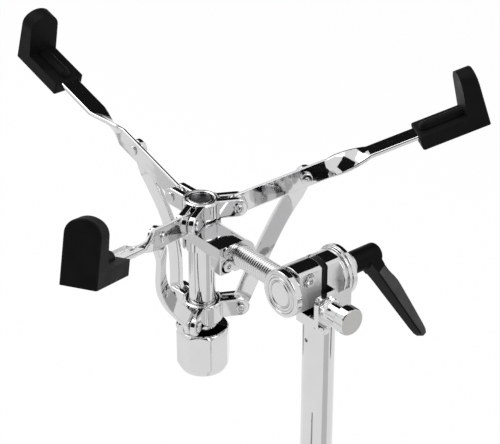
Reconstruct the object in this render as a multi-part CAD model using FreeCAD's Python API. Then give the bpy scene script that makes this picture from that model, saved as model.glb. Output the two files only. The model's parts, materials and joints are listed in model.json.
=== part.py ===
import FreeCAD, Part
import math
import os

# Snare drum stand: folding tripod, sliding mast, offset tilter and a three-arm
# basket worked by an adjuster nut. Millimetres, +Z up, origin on the floor under
# the mast. +X runs along the tilter barrel to its lever, +Y out to the basket.

V = FreeCAD.Vector
X = V(1, 0, 0)
Y = V(0, 1, 0)
Z = V(0, 0, 1)
ORIGIN = V(0, 0, 0)
THIRD_TURN = 120.0

# Clearances
RUN_GAP = 0.06          # radial, shafts and pins that turn or slide
SIDE_GAP = 0.12         # beside flat links and ears that swing
SWING_GAP = 0.5         # between bodies that sweep past each other
SEAT_GAP = 0.05         # parts pushed or screwed home

# Tripod
LEG_REACH = 300.0       # leg pivot to foot
BRACE_LENGTH = 120.0    # also leg pivot to brace rivet, so the collar runs true
LEG_SPREAD = 60.0       # degrees from upright when standing
LEG_PIVOT_OUT = 9.0     # leg and brace pivots beyond the hub's wall
LEG_STRIP_W = 13.0
LEG_STRIP_T = 2.0
LUG_W = 8.0             # lower hub lug, between the brace strips
LUG_R = 6.5
LUG_ROOT = 6.0          # lug's root inside the hub's face
RIVET_R = 2.5
RIVET_HEAD_R = 4.2
RIVET_HEAD_T = 1.6
FOOT_LENGTH = 34.0
FOOT_WIDTH = 24.0
FOOT_HEIGHT = 20.0
FOOT_TOE = 5.0
FOOT_CROWN = 3.0
FOOT_ROUND = 2.0
FOOT_PIVOT_Z = 10.0     # leg centre line above the floor at the foot
LOWER_TUBE_R = 14.3
TUBE_WALL = 1.6
TUBE_BELOW_HUB = 5.0
HUB_WALL = 4.3
HUB_EASE_IN = 2.0
HUB_EASE_H = 3.0
HUB_BODY_H = 26.0
COLLAR_BODY_H = 30.0
COLLAR_BOSS_R = 7.0
COLLAR_BOSS_REACH = 5.0
COLLAR_WING_SPAN = 38.0
WING_T = 5.0
WING_DEPTH = 11.0
WING_BOSS_R = 6.5
WING_BOSS_H = 8.0
SCREW_R = 3.0

# Mast and its height clamp
UPPER_TUBE_R = 11.1
HEIGHT_CLAMP_BOTTOM = 297.0
HEIGHT_CLAMP_H = 40.0
HEIGHT_CLAMP_WALL = 4.0
CLAMP_FOOT_EASE = 2.0
CLAMP_NOSE_EASE = 3.0
CLAMP_LEDGE = 16.0      # clamp above the lower tube's end, where its screw bears
CLAMP_BOSS_R = 7.0
CLAMP_BOSS_REACH = 6.0
CLAMP_BOSS_AZIMUTH = 200.0
HEIGHT_WING_SPAN = 60.0
BUSH_LENGTH = 42.0
MAST_SHOWN = 116.0      # bare upper tube between clamp and tilter head
MAST_DEPTH = 150.0      # upper tube inside the lower one
INDEX_HOLE_R = 1.5
INDEX_HOLE_DROP = 17.8  # below the tilter head's collar

# Tilter, along the barrel axis
HEAD_COLLAR_R = 15.0
HEAD_COLLAR_DROP = 27.0     # collar's lower edge below the barrel axis
HEAD_SPIGOT_L = 34.0
BARREL_R = 16.4
BARREL_CAP_X = -34.5        # outer face of the end cap
BARREL_CAP_T = 5.5
BARREL_NECK_R = 12.5
BARREL_NECK_T = 3.0
BARREL_END_X = -6.6         # barrel's inner end, at the friction disc
FRICTION_T = 4.6
FRICTION_R = 14.2
CHEEK_T = 10.4              # head's cheek beside the friction disc
CAP_ROUND = 1.2
FRONT_FLAT = 9.5            # flat front faces, from the barrel axis
CAP_RINGS = ((13.4, 11.6, 0.7), (9.6, 8.6, 0.7))
WASHER_STEPS = ((15.0, 3.0), (16.8, 2.2), (18.0, 3.6), (12.5, 4.2))
TILT_BOLT_R = 4.0
BOLT_HEAD_R = 6.4
BOLT_HEAD_T = 4.0
BOLT_IN_HUB = 6.0
LUG_PLATE_Y = 17.3          # back of the front lug, clear of the barrel's sweep
LUG_PLATE_T = 4.2
LUG_LIFT = 2.0              # lug's lower edge above the collar's
LUG_ROUND = 4.0
KNOB_X = -12.5
KNOB_Z = -8.2
KNOB_RING_R = 7.6
KNOB_RING_T = 4.6
KNOB_WAIST_R = 6.2
KNOB_WAIST_L = 11.0
KNOB_DISC_R = 9.6
KNOB_DISC_T = 8.0
KNOB_EASE = 0.8
KNOB_SCREW_R = 2.5
LOCK_PIN_R = 3.0
LOCK_PIN_INSET = 4.2        # pin left of the knob's axis
LOCK_PIN_RISE = 4.6         # pin above the collar's lower edge
LOCK_PIN_REACH = 4.0        # pin before and behind the lug
ROD_BOLT_X = -17.8
ROD_BOLT_Z = 8.1
ROD_BOLT_R = 4.2
ROD_BOLT_T = 3.4
ROD_BOLT_DEPTH = 13.0
ROD_BOLT_RECESS = 1.2

# Clamping lever
LEVER_HUB_R = 5.8
LEVER_HUB_T = 5.0
LEVER_FLANGE_R = 7.6
LEVER_CORE_L = 9.0
LEVER_SHELL_R = 7.8
LEVER_SHELL_L = 24.0
LEVER_DOME = 3.0
LEVER_BORE_R = 4.6
LEVER_FLOOR = 2.0
LEVER_SCREW_R = 2.0
LEVER_SCREW_HEAD_R = 3.6
LEVER_SCREW_HEAD_T = 2.6
LEVER_SLOT_W = 1.2
LEVER_SLOT_DEPTH = 1.0
LEVER_ROOT_IN = 9.0         # blade's middle behind the shell's end
LEVER_REACH = 66.0
LEVER_SLOPE = 22.0          # degrees the handle leans away from the barrel
LEVER_TURN = 27.0           # degrees the handle hangs towards the front
LEVER_ROOT_W = 15.0
LEVER_TIP_W = 9.2
LEVER_ROOT_THICK = 10.0
LEVER_THICK = 7.0
LEVER_TIP_THICK = 5.6
LEVER_PULL = 5.0
SPRING_COILS = 4.0
SPRING_WIRE_R = 0.5
SPRING_R = 2.8
SPRING_PLAY = 1.2

# Offset rod and the clamp on the basket tube
BASKET_X = -15.4
BASKET_Y = 106.5
ROD_R = 7.9
TILT_DOWN = 20.0            # basket's tilt below level, in degrees
ROD_DROP = 6.3              # rod axis below the barrel axis
ROD_INNER_Y = 7.0
ROD_IN_CLAMP = 14.0
CLAMP_LEFT_X = -34.6
CLAMP_FRONT_Y = 62.0
CLAMP_TOP = 5.3
CLAMP_SPLIT = -3.3
CLAMP_CAP_BOTTOM = -16.2
CLAMP_CAP_RIGHT_X = -24.0
CLAMP_CAP_BACK_Y = 73.0
CLAMP_CAP_INSET = 0.6
CLAMP_CAP_ROUND = 1.5
CLAMP_SLIT = 2.0
CLAMP_JAW = 4.0             # clamp past the slit
CLAMP_WALL = 4.5
CAP_SCREW_R = 2.5
CAP_HEAD_R = 4.3
CAP_HEAD_T = 4.2
CAP_HEAD_SHOWN = 1.2
CAP_HEAD_GAP = 0.3
CAP_SOCKET_R = 2.1
CAP_SOCKET_DEPTH = 2.2
CAP_SCREW_IN = 7.0          # screws' axes from the clamp's left face

# Basket
BASKET_TURN = 1.5           # degrees the basket is turned in its clamp
BASKET_TUBE_R = 9.5
HUB_R = 12.6
HUB_TOP = 20.0
HUB_BOTTOM = 5.9
HUB_RECESS_R = 8.2
HUB_RECESS_T = 4.0
HUB_FLOOR = 2.0
RIM_EASE = 1.4
RIM_LAND = 1.0
RIM_GROOVE = 0.7
PLUG_R = 7.6
PLUG_T = 1.6
PLUG_CROWN = 0.4
PIVOT_R = 25.1              # arm pivots from the basket axis
PIVOT_Z = 12.5
EAR_W = 13.6                # across both ears of a clevis
EAR_R = 6.8
EAR_ROOT = 3.0              # ears inside the hub's face
EAR_FLOOR = 2.6             # metal behind the slot
PIN_R = 2.4
PIN_HEAD_R = 3.4
PIN_HEAD_T = 2.4
LINK_HEAD_R = 4.2
PIN_END_R = 3.8
PIN_END_T = 1.4
PIN_EASE = 0.5
PIN_SOCKET_R = 1.6
PIN_SOCKET_DEPTH = 1.5
ARM_ANGLE = 18.4            # arms above level, set for a 14 inch drum
ARM_T = 3.2
ARM_H = 15.0
ARM_EYE_R = 7.4
TWIST_START = 66.0
TWIST_END = 98.0
ARM_END = 171.0
LINK_PIVOT = 51.1           # along the arm from its pivot
TIP_START = 132.8
TIP_END = 183.0
TIP_W = 24.0
TIP_BELOW = 7.6
TIP_PAD_TOP = 2.6
TIP_POST_T = 15.0           # at its foot
TIP_POST_TOP_T = 11.5       # at its rounded top
TIP_POST_TOP = 33.4
TIP_SHOULDER = 23.0
TIP_RIB_R = 4.4
TIP_RIB_IN = 3.0            # rib's end from the tip's inner edge
TIP_ROUND = 1.6
LINK_T = 4.0
LINK_W = 12.0
LINK_EYE_R = 7.0
LINK_FOOT_R = 6.2
LINK_SEAT_L = 16.0          # flat below the upper eye
LINK_HEEL_L = 7.6           # flat above the lower eye
LINK_BOW = 6.4              # sideways, past its seat on the arm
LINK_BELLY = 2.8            # outwards from the line between its pins
LINK_SIDES = (1, -1, -1)    # which side of its arm each link is fitted on
COLLAR_PIVOT_R = 26.2
COLLAR_PIVOT_Z = -68.0
COLLAR_R = 14.2
COLLAR_TOP = -60.7
COLLAR_BOTTOM = -76.7
COLLAR_SLEEVE_R = 12.2
COLLAR_SLEEVE_L = 11.0
COLLAR_OPEN_GAP = 1.4       # the link's lower eye floats on its pin
NUT_R = 19.8
NUT_TOP = -83.2
NUT_BOTTOM = -117.2
NUT_SIDES = 8
NUT_TURN = 22.5
NUT_CHAMFER = 7.0
NUT_CHAMFER_IN = 3.2
NUT_TOP_EASE = 2.4
NUT_LINER_R = 17.0
LINER_DROP = 1.0
LINER_GAP = 0.3
TUBE_PAST_NUT = 4.0

# Worked-out places
SPREAD = math.radians(LEG_SPREAD)
LEG_TOP_Z = FOOT_PIVOT_Z + LEG_REACH * math.cos(SPREAD)
HUB_PIVOT_Z = LEG_TOP_Z - 2 * BRACE_LENGTH * math.cos(SPREAD)
HUB_BODY_R = LOWER_TUBE_R + HUB_WALL
LEG_PIVOT_R = HUB_BODY_R + LEG_PIVOT_OUT
LOWER_TUBE_BOTTOM = HUB_PIVOT_Z - HUB_BODY_H / 2 - TUBE_BELOW_HUB
BRACE_IN = LUG_W / 2 + SIDE_GAP
BRACE_OUT = BRACE_IN + LEG_STRIP_T
LEG_IN = BRACE_OUT + SIDE_GAP
LEG_OUT = LEG_IN + LEG_STRIP_T
HEIGHT_CLAMP_TOP = HEIGHT_CLAMP_BOTTOM + HEIGHT_CLAMP_H
LOWER_TUBE_TOP = HEIGHT_CLAMP_TOP - CLAMP_LEDGE
MAST_TOP_DROP = BARREL_R + 2 * SWING_GAP
BARREL_Z = HEIGHT_CLAMP_TOP + MAST_SHOWN + HEAD_COLLAR_DROP
MAST_TOP = BARREL_Z - MAST_TOP_DROP
CHEEK_X = BARREL_END_X + FRICTION_T
CHEEK_OUT_X = CHEEK_X + CHEEK_T
WASHER_OUT_X = CHEEK_OUT_X + sum(step[1] for step in WASHER_STEPS)
LEVER_HUB_X = WASHER_OUT_X + SEAT_GAP
SADDLE_R = CLAMP_TOP + ROD_DROP
ARM_SLOT = ARM_T + 2 * SIDE_GAP
LINK_SLOT = LINK_T + 2 * SIDE_GAP
LINK_MID_T = ARM_T / 2 + SIDE_GAP + LINK_T / 2
TILT_CENTRE = V(0, 0, BARREL_Z)
BASKET_BASE = V(BASKET_X, BASKET_Y, BARREL_Z)
ARM_AZIMUTHS = [BASKET_TURN - 30.0 + THIRD_TURN * i for i in range(3)]
LEG_AZIMUTHS = [90.0 + THIRD_TURN * i for i in range(3)]
RISE = math.radians(ARM_ANGLE)
LINK_TOP_R = PIVOT_R + LINK_PIVOT * math.cos(RISE)
LINK_TOP_Z = PIVOT_Z + LINK_PIVOT * math.sin(RISE)


# Small helpers

def rod(radius, start, end):
    span = end - start
    return Part.makeCylinder(radius, span.Length, start, span)


def block(x0, x1, y0, y1, z0, z1):
    corner = V(min(x0, x1), min(y0, y1), min(z0, z1))
    return Part.makeBox(abs(x1 - x0), abs(y1 - y0), abs(z1 - z0), corner)


def outline(points):
    return Part.makePolygon(list(points) + [points[0]])


def plate(points, push):
    return Part.Face(outline(points)).extrude(push)


def turned(shape, degrees, axis=Z, centre=ORIGIN):
    copy = shape.copy()
    copy.rotate(centre, axis, degrees)
    return copy


def moved(shape, step):
    copy = shape.copy()
    copy.translate(step)
    return copy


def joined(first, *others):
    return first.fuse(list(others)).removeSplitter()


def group(solids):
    return Part.makeCompound(list(solids))


def lathe(profile, centre=ORIGIN, axis=Z):
    """Turn (radius, height) points about +Z, then lay the axis along axis."""
    wire = outline([V(r, 0, h) for r, h in profile])
    solid = Part.Face(wire).revolve(ORIGIN, Z, 360)
    solid.Placement = FreeCAD.Placement(centre, FreeCAD.Rotation(Z, axis))
    return solid


def hexagon(radius, depth, start, axis):
    points = [V(radius * math.cos(math.radians(60 * k)), radius * math.sin(math.radians(60 * k)), 0)
              for k in range(6)]
    solid = plate(points, V(0, 0, depth))
    solid.Placement = FreeCAD.Placement(start, FreeCAD.Rotation(Z, axis))
    return solid


def flat_bar(start, end, width, y0, y1):
    """Square-ended strip in an XZ plane."""
    along = (end - start).normalize()
    across = V(-along.z, 0, along.x) * (width / 2)
    bar = plate([start + across, end + across, end - across, start - across], V(0, y1 - y0, 0))
    return moved(bar, V(0, y0, 0))


def strip(start, end, width, y0, y1):
    """Strip with rounded ends about its two rivets."""
    ends = [rod(width / 2, point + Y * y0, point + Y * y1) for point in (start, end)]
    return joined(flat_bar(start, end, width, y0, y1), *ends)


def cross_hole(radius, point, half):
    return rod(radius, point - Y * half, point + Y * half)


def eased_drum(radius, low, high):
    """Upright hub blank, eased at both ends."""
    inner = radius - HUB_EASE_IN
    return lathe([(0, low), (inner, low), (radius, low + HUB_EASE_H), (radius, high - HUB_EASE_H),
                  (inner, high), (0, high)])


def rivet(point, half_grip):
    """Pin along Y with a low head on each side of what it holds."""
    reach = half_grip + SEAT_GAP
    pin = cross_hole(RIVET_R, point, reach)
    heads = [lathe([(0, 0), (RIVET_HEAD_R, 0), (RIVET_HEAD_R * 0.86, RIVET_HEAD_T * 0.6),
                    (RIVET_HEAD_R * 0.5, RIVET_HEAD_T), (0, RIVET_HEAD_T)],
                   point + Y * side * reach, Y * side) for side in (1, -1)]
    return joined(pin, *heads)


def wing_screw(seat, stem_length, span):
    """Wing screw that points at the seat along -X, its wings upright."""
    stem = Part.makeCylinder(SCREW_R, stem_length, V(0, 0, -stem_length))
    boss = lathe([(0, 0), (WING_BOSS_R, 0), (WING_BOSS_R, WING_BOSS_H * 0.25), (WING_BOSS_R * 0.8, WING_BOSS_H),
                  (0, WING_BOSS_H)])
    half = span / 2
    root = WING_BOSS_R * 0.77
    blade = plate([V(-half, 0, WING_DEPTH * 1.36), V(-half * 0.72, 0, WING_DEPTH * 1.64),
                   V(0, 0, WING_BOSS_H * 0.8), V(half * 0.72, 0, WING_DEPTH * 1.64),
                   V(half, 0, WING_DEPTH * 1.36), V(half * 0.86, 0, WING_DEPTH * 0.73),
                   V(root, 0, WING_BOSS_H * 0.3),
                   V(-root, 0, WING_BOSS_H * 0.3), V(-half * 0.86, 0, WING_DEPTH * 0.73)], V(0, WING_T, 0))
    blade.translate(V(0, -WING_T / 2, 0))
    screw = turned(joined(boss, stem, blade), 90, Y)
    return moved(screw, seat)


def about_mast(shape, azimuth):
    return turned(shape, azimuth)


def about_basket(shape, azimuth):
    return moved(turned(shape, azimuth), BASKET_BASE)


def on_arm(shape):
    """Carry a shape from the flat arm frame, pivot at the origin, to the hub."""
    return moved(turned(shape, -ARM_ANGLE, Y), V(PIVOT_R, 0, PIVOT_Z))


# Tripod

def tripod():
    nodes = {}
    tube_length = LOWER_TUBE_TOP - LOWER_TUBE_BOTTOM
    bottom = V(0, 0, LOWER_TUBE_BOTTOM)
    lower_tube = Part.makeCylinder(LOWER_TUBE_R, tube_length, bottom)
    nodes["lower_tube"] = lower_tube.cut(Part.makeCylinder(LOWER_TUBE_R - TUBE_WALL, tube_length, bottom))

    hub_z = HUB_PIVOT_Z - HUB_BODY_H / 2
    hub = eased_drum(HUB_BODY_R, hub_z, hub_z + HUB_BODY_H)
    hub_pivot = V(LEG_PIVOT_R, 0, HUB_PIVOT_Z)
    hub_lug = strip(V(HUB_BODY_R - LUG_ROOT, 0, HUB_PIVOT_Z), hub_pivot, 2 * LUG_R, -LUG_W / 2, LUG_W / 2)
    hub = joined(hub, *[about_mast(hub_lug, azimuth) for azimuth in LEG_AZIMUTHS])
    hub = hub.cut(Part.makeCylinder(LOWER_TUBE_R, tube_length, bottom))
    hub_hole = cross_hole(RIVET_R, hub_pivot, LUG_W)
    hub = hub.cut([about_mast(hub_hole, azimuth) for azimuth in LEG_AZIMUTHS])
    nodes["lower_hub"] = hub
    nodes["brace_pivot_rivets"] = group(about_mast(rivet(hub_pivot, BRACE_OUT), azimuth)
                                        for azimuth in LEG_AZIMUTHS)

    collar_bottom = LEG_TOP_Z - COLLAR_BODY_H / 2
    leg_top = V(LEG_PIVOT_R, 0, LEG_TOP_Z)
    collar_lug_w = 2 * (LEG_IN - SIDE_GAP)
    collar = eased_drum(HUB_BODY_R, collar_bottom, collar_bottom + COLLAR_BODY_H)
    lug = strip(V(HUB_BODY_R - LUG_ROOT, 0, LEG_TOP_Z), leg_top, 2 * LUG_R, -collar_lug_w / 2, collar_lug_w / 2)
    collar = joined(collar, *[about_mast(lug, azimuth) for azimuth in LEG_AZIMUTHS])
    boss_azimuth = LEG_AZIMUTHS[1] + THIRD_TURN / 2
    boss_end = V(HUB_BODY_R + COLLAR_BOSS_REACH, 0, LEG_TOP_Z)
    boss = rod(COLLAR_BOSS_R, V(LOWER_TUBE_R, 0, LEG_TOP_Z), boss_end)
    collar = joined(collar, about_mast(boss, boss_azimuth))
    collar = collar.cut(Part.makeCylinder(LOWER_TUBE_R + RUN_GAP, COLLAR_BODY_H, V(0, 0, collar_bottom)))
    lug_hole = cross_hole(RIVET_R, leg_top, collar_lug_w)
    collar = collar.cut([about_mast(lug_hole, azimuth) for azimuth in LEG_AZIMUTHS])
    screw_hole = rod(SCREW_R + RUN_GAP, V(0, 0, LEG_TOP_Z), boss_end + X)
    nodes["leg_collar"] = collar.cut(about_mast(screw_hole, boss_azimuth))
    nodes["leg_pivot_rivets"] = group(about_mast(rivet(leg_top, LEG_OUT), azimuth)
                                      for azimuth in LEG_AZIMUTHS)
    stem = boss_end.x - LOWER_TUBE_R
    screw = wing_screw(boss_end + X * SEAT_GAP, stem - SEAT_GAP, COLLAR_WING_SPAN)
    nodes["collar_wing_screw"] = about_mast(screw, boss_azimuth)

    down = V(math.sin(SPREAD), 0, -math.cos(SPREAD))
    foot_point = leg_top + down * LEG_REACH
    brace_point = leg_top + down * BRACE_LENGTH
    for i, azimuth in enumerate(LEG_AZIMUTHS):
        number = str(i + 1)
        leg_pair = []
        brace_pair = []
        for side in (1, -1):
            leg_edges = sorted((side * LEG_IN, side * LEG_OUT))
            leg_strip = strip(leg_top, foot_point, LEG_STRIP_W, *leg_edges)
            holes = [cross_hole(RIVET_R + RUN_GAP, leg_top, 2 * LEG_OUT),
                     cross_hole(RIVET_R, brace_point, 2 * LEG_OUT)]
            leg_pair.append(leg_strip.cut(holes))
            brace_edges = sorted((side * BRACE_IN, side * BRACE_OUT))
            brace_strip = strip(hub_pivot, brace_point, LEG_STRIP_W, *brace_edges)
            holes = [cross_hole(RIVET_R + RUN_GAP, point, 2 * LEG_OUT) for point in (hub_pivot, brace_point)]
            brace_pair.append(brace_strip.cut(holes))
        nodes["leg_" + number] = about_mast(group(leg_pair), azimuth)
        nodes["brace_" + number] = about_mast(group(brace_pair), azimuth)
        nodes["leg_rivet_" + number] = about_mast(rivet(brace_point, LEG_OUT), azimuth)
        nodes["foot_" + number] = about_mast(foot(foot_point, leg_pair), azimuth)
    return nodes


def foot(point, leg_pair):
    """Rubber boot pushed over the leg's end, flat where it meets the floor."""
    half = FOOT_LENGTH / 2
    side = [V(point.x - half, 0, 0), V(point.x + half * 0.8, 0, 0), V(point.x + half, 0, FOOT_TOE),
            V(point.x + half * 0.9, 0, FOOT_HEIGHT - FOOT_CROWN), V(point.x + half * 0.5, 0, FOOT_HEIGHT),
            V(point.x - half * 0.5, 0, FOOT_HEIGHT + FOOT_CROWN), V(point.x - half, 0, FOOT_HEIGHT)]
    boot = plate(side, V(0, FOOT_WIDTH, 0))
    boot.translate(V(0, -FOOT_WIDTH / 2, 0))
    upright = [edge for edge in boot.Edges if abs(edge.CenterOfMass.y) > FOOT_WIDTH / 2 - SEAT_GAP
               and edge.CenterOfMass.z > SEAT_GAP]
    return boot.makeFillet(FOOT_ROUND, upright).cut(leg_pair)


# Height clamp and mast

def mast():
    nodes = {}
    low = HEIGHT_CLAMP_BOTTOM
    body_r = LOWER_TUBE_R + HEIGHT_CLAMP_WALL
    clamp = lathe([(0, low), (body_r - CLAMP_FOOT_EASE, low), (body_r, low + CLAMP_FOOT_EASE),
                   (body_r, HEIGHT_CLAMP_TOP - CLAMP_NOSE_EASE), (body_r - CLAMP_NOSE_EASE, HEIGHT_CLAMP_TOP),
                   (0, HEIGHT_CLAMP_TOP)])
    screw_z = HEIGHT_CLAMP_TOP - CLAMP_LEDGE / 2
    boss_end = V(body_r + CLAMP_BOSS_REACH, 0, screw_z)
    boss = rod(CLAMP_BOSS_R, V(UPPER_TUBE_R + TUBE_WALL, 0, screw_z), boss_end)
    clamp = joined(clamp, about_mast(boss, CLAMP_BOSS_AZIMUTH))
    tube_bore = Part.makeCylinder(LOWER_TUBE_R, LOWER_TUBE_TOP - low, V(0, 0, low))
    mouth = Part.makeCylinder(UPPER_TUBE_R + RUN_GAP, HEIGHT_CLAMP_H, V(0, 0, low))
    screw_hole = rod(SCREW_R + RUN_GAP, V(0, 0, screw_z), boss_end + X)
    nodes["height_clamp"] = clamp.cut([tube_bore, mouth, about_mast(screw_hole, CLAMP_BOSS_AZIMUTH)])
    stem = boss_end.x - UPPER_TUBE_R
    screw = wing_screw(boss_end + X * SEAT_GAP, stem - SEAT_GAP, HEIGHT_WING_SPAN)
    nodes["height_wing_screw"] = about_mast(screw, CLAMP_BOSS_AZIMUTH)

    bush_low = LOWER_TUBE_TOP - BUSH_LENGTH
    bush = Part.makeCylinder(LOWER_TUBE_R - TUBE_WALL, BUSH_LENGTH, V(0, 0, bush_low))
    bush_bore = Part.makeCylinder(UPPER_TUBE_R + RUN_GAP, BUSH_LENGTH, V(0, 0, bush_low))
    nodes["height_bush"] = bush.cut(bush_bore)

    mast_low = HEIGHT_CLAMP_TOP - MAST_DEPTH
    length = MAST_TOP - mast_low
    upper = Part.makeCylinder(UPPER_TUBE_R, length, V(0, 0, mast_low))
    index_z = BARREL_Z - HEAD_COLLAR_DROP - INDEX_HOLE_DROP
    index_hole = rod(INDEX_HOLE_R, V(0, 0, index_z), V(-2 * UPPER_TUBE_R, 0, index_z))
    inside = Part.makeCylinder(UPPER_TUBE_R - TUBE_WALL, length, V(0, 0, mast_low))
    nodes["upper_tube"] = upper.cut([inside, index_hole])
    return nodes


# Tilter head, on the mast

def flat_fronted(x0, x1):
    """Length of barrel with its front planed flat, in the barrel's own height."""
    drum = rod(BARREL_R, V(x0, 0, 0), V(x1, 0, 0))
    front = block(x0 - 1, x1 + 1, -FRONT_FLAT, -BARREL_R - 1, -BARREL_R - 1, BARREL_R + 1)
    return drum.cut(front)


def tilter_head():
    nodes = {}
    collar_low = -HEAD_COLLAR_DROP
    collar_top = -BARREL_R - SWING_GAP
    collar = Part.makeCylinder(HEAD_COLLAR_R, collar_top - collar_low, V(0, 0, collar_low))
    cheek = flat_fronted(CHEEK_X, CHEEK_OUT_X)
    lug_low = collar_low + LUG_LIFT
    web = block(CHEEK_X, CHEEK_OUT_X, -FRONT_FLAT, HEAD_COLLAR_R - LUG_PLATE_T, lug_low, 0)
    lug_left = KNOB_X - KNOB_RING_R
    lug_y = -LUG_PLATE_Y - LUG_PLATE_T
    lug_top = KNOB_Z + KNOB_RING_R
    lug = block(lug_left, CHEEK_OUT_X, lug_y, -LUG_PLATE_Y, lug_low, lug_top)
    shelf = block(lug_left, CHEEK_OUT_X, -LUG_PLATE_Y, 0, lug_low, collar_top)
    bridge = block(CHEEK_X, CHEEK_OUT_X, -LUG_PLATE_Y, -FRONT_FLAT, lug_low, lug_top)
    round_end = [edge for edge in lug.Edges if edge.CenterOfMass.x < lug_left + SEAT_GAP
                 and abs(edge.CenterOfMass.y - (lug_y + LUG_PLATE_T / 2)) < SEAT_GAP]
    lug = lug.makeFillet(LUG_ROUND, round_end)
    body = joined(collar, cheek, web, lug, shelf, bridge)
    spigot_top = MAST_TOP - BARREL_Z
    socket = Part.makeCylinder(UPPER_TUBE_R + RUN_GAP, spigot_top - collar_low, V(0, 0, collar_low))
    spigot_r = UPPER_TUBE_R - TUBE_WALL - RUN_GAP
    spigot = Part.makeCylinder(spigot_r, spigot_top - collar_low + HEAD_SPIGOT_L,
                               V(0, 0, collar_low - HEAD_SPIGOT_L))
    washer_r = max(step[0] for step in WASHER_STEPS) + SEAT_GAP
    relief = rod(washer_r, V(CHEEK_OUT_X, 0, 0), V(WASHER_OUT_X, 0, 0))
    rod_room = rod(ROD_R + SWING_GAP, V(BASKET_X, ROD_INNER_Y, -ROD_DROP),
                   V(BASKET_X, CLAMP_FRONT_Y, -ROD_DROP))
    body = joined(body.cut([socket, relief, turned(rod_room, -TILT_DOWN, X)]), spigot)
    bolt_hole = rod(TILT_BOLT_R, V(CHEEK_X - 1, 0, 0), V(CHEEK_OUT_X + 1, 0, 0))
    knob_hole = rod(KNOB_SCREW_R + RUN_GAP, V(KNOB_X, lug_y - 1, KNOB_Z), V(KNOB_X, 0, KNOB_Z))
    pin_x = KNOB_X - LOCK_PIN_INSET
    pin_z = collar_low + LOCK_PIN_RISE
    pin_back = V(pin_x, -LUG_PLATE_Y + LOCK_PIN_REACH, pin_z)
    pin_length = LUG_PLATE_T + 2 * LOCK_PIN_REACH
    pin_hole = rod(LOCK_PIN_R, pin_back - Y * pin_length, pin_back)
    nodes["tilter_head"] = body.cut([bolt_hole, knob_hole, pin_hole])
    pin_tip = pin_length + KNOB_EASE
    nodes["head_pin"] = lathe([(0, 0), (LOCK_PIN_R, 0), (LOCK_PIN_R, pin_length),
                               (LOCK_PIN_R - KNOB_EASE, pin_tip), (0, pin_tip)], pin_back, -Y)

    disc = rod(FRICTION_R, V(BARREL_END_X + SEAT_GAP, 0, 0), V(CHEEK_X, 0, 0))
    nodes["friction_disc"] = disc.cut(rod(TILT_BOLT_R, V(BARREL_END_X, 0, 0), V(CHEEK_X, 0, 0)))

    x = CHEEK_OUT_X
    profile = [(TILT_BOLT_R, x)]
    for radius, thick in WASHER_STEPS:
        profile += [(radius, x), (radius, x + thick)]
        x += thick
    profile.append((TILT_BOLT_R, x))
    nodes["clamp_washer"] = lathe(profile, axis=X)

    bolt_start = BARREL_CAP_X + BARREL_CAP_T + SWING_GAP
    bolt_end = LEVER_HUB_X + LEVER_HUB_T + BOLT_IN_HUB
    head = hexagon(BOLT_HEAD_R, BOLT_HEAD_T, V(bolt_start, 0, 0), X)
    shank = rod(TILT_BOLT_R, V(bolt_start, 0, 0), V(bolt_end, 0, 0))
    nodes["tilter_bolt"] = joined(head, shank)

    knob_seat = lug_y - SEAT_GAP
    screw_end = -LUG_PLATE_Y - SWING_GAP
    h1 = KNOB_RING_T
    h2 = h1 + KNOB_WAIST_L
    h3 = h2 + KNOB_DISC_T
    knob = lathe([(0, 0), (KNOB_RING_R, 0), (KNOB_RING_R, h1), (KNOB_WAIST_R, h1 + KNOB_EASE),
                  (KNOB_WAIST_R, h2), (KNOB_DISC_R - KNOB_EASE, h2), (KNOB_DISC_R, h2 + KNOB_EASE),
                  (KNOB_DISC_R, h3 - KNOB_EASE), (KNOB_DISC_R - KNOB_EASE, h3), (0, h3)],
                 V(KNOB_X, knob_seat, KNOB_Z), -Y)
    screw = rod(KNOB_SCREW_R, V(KNOB_X, knob_seat, KNOB_Z), V(KNOB_X, screw_end, KNOB_Z))
    nodes["tilt_knob"] = joined(knob, screw)
    return {name: moved(shape, TILT_CENTRE) for name, shape in nodes.items()}


# Clamping lever

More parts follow.
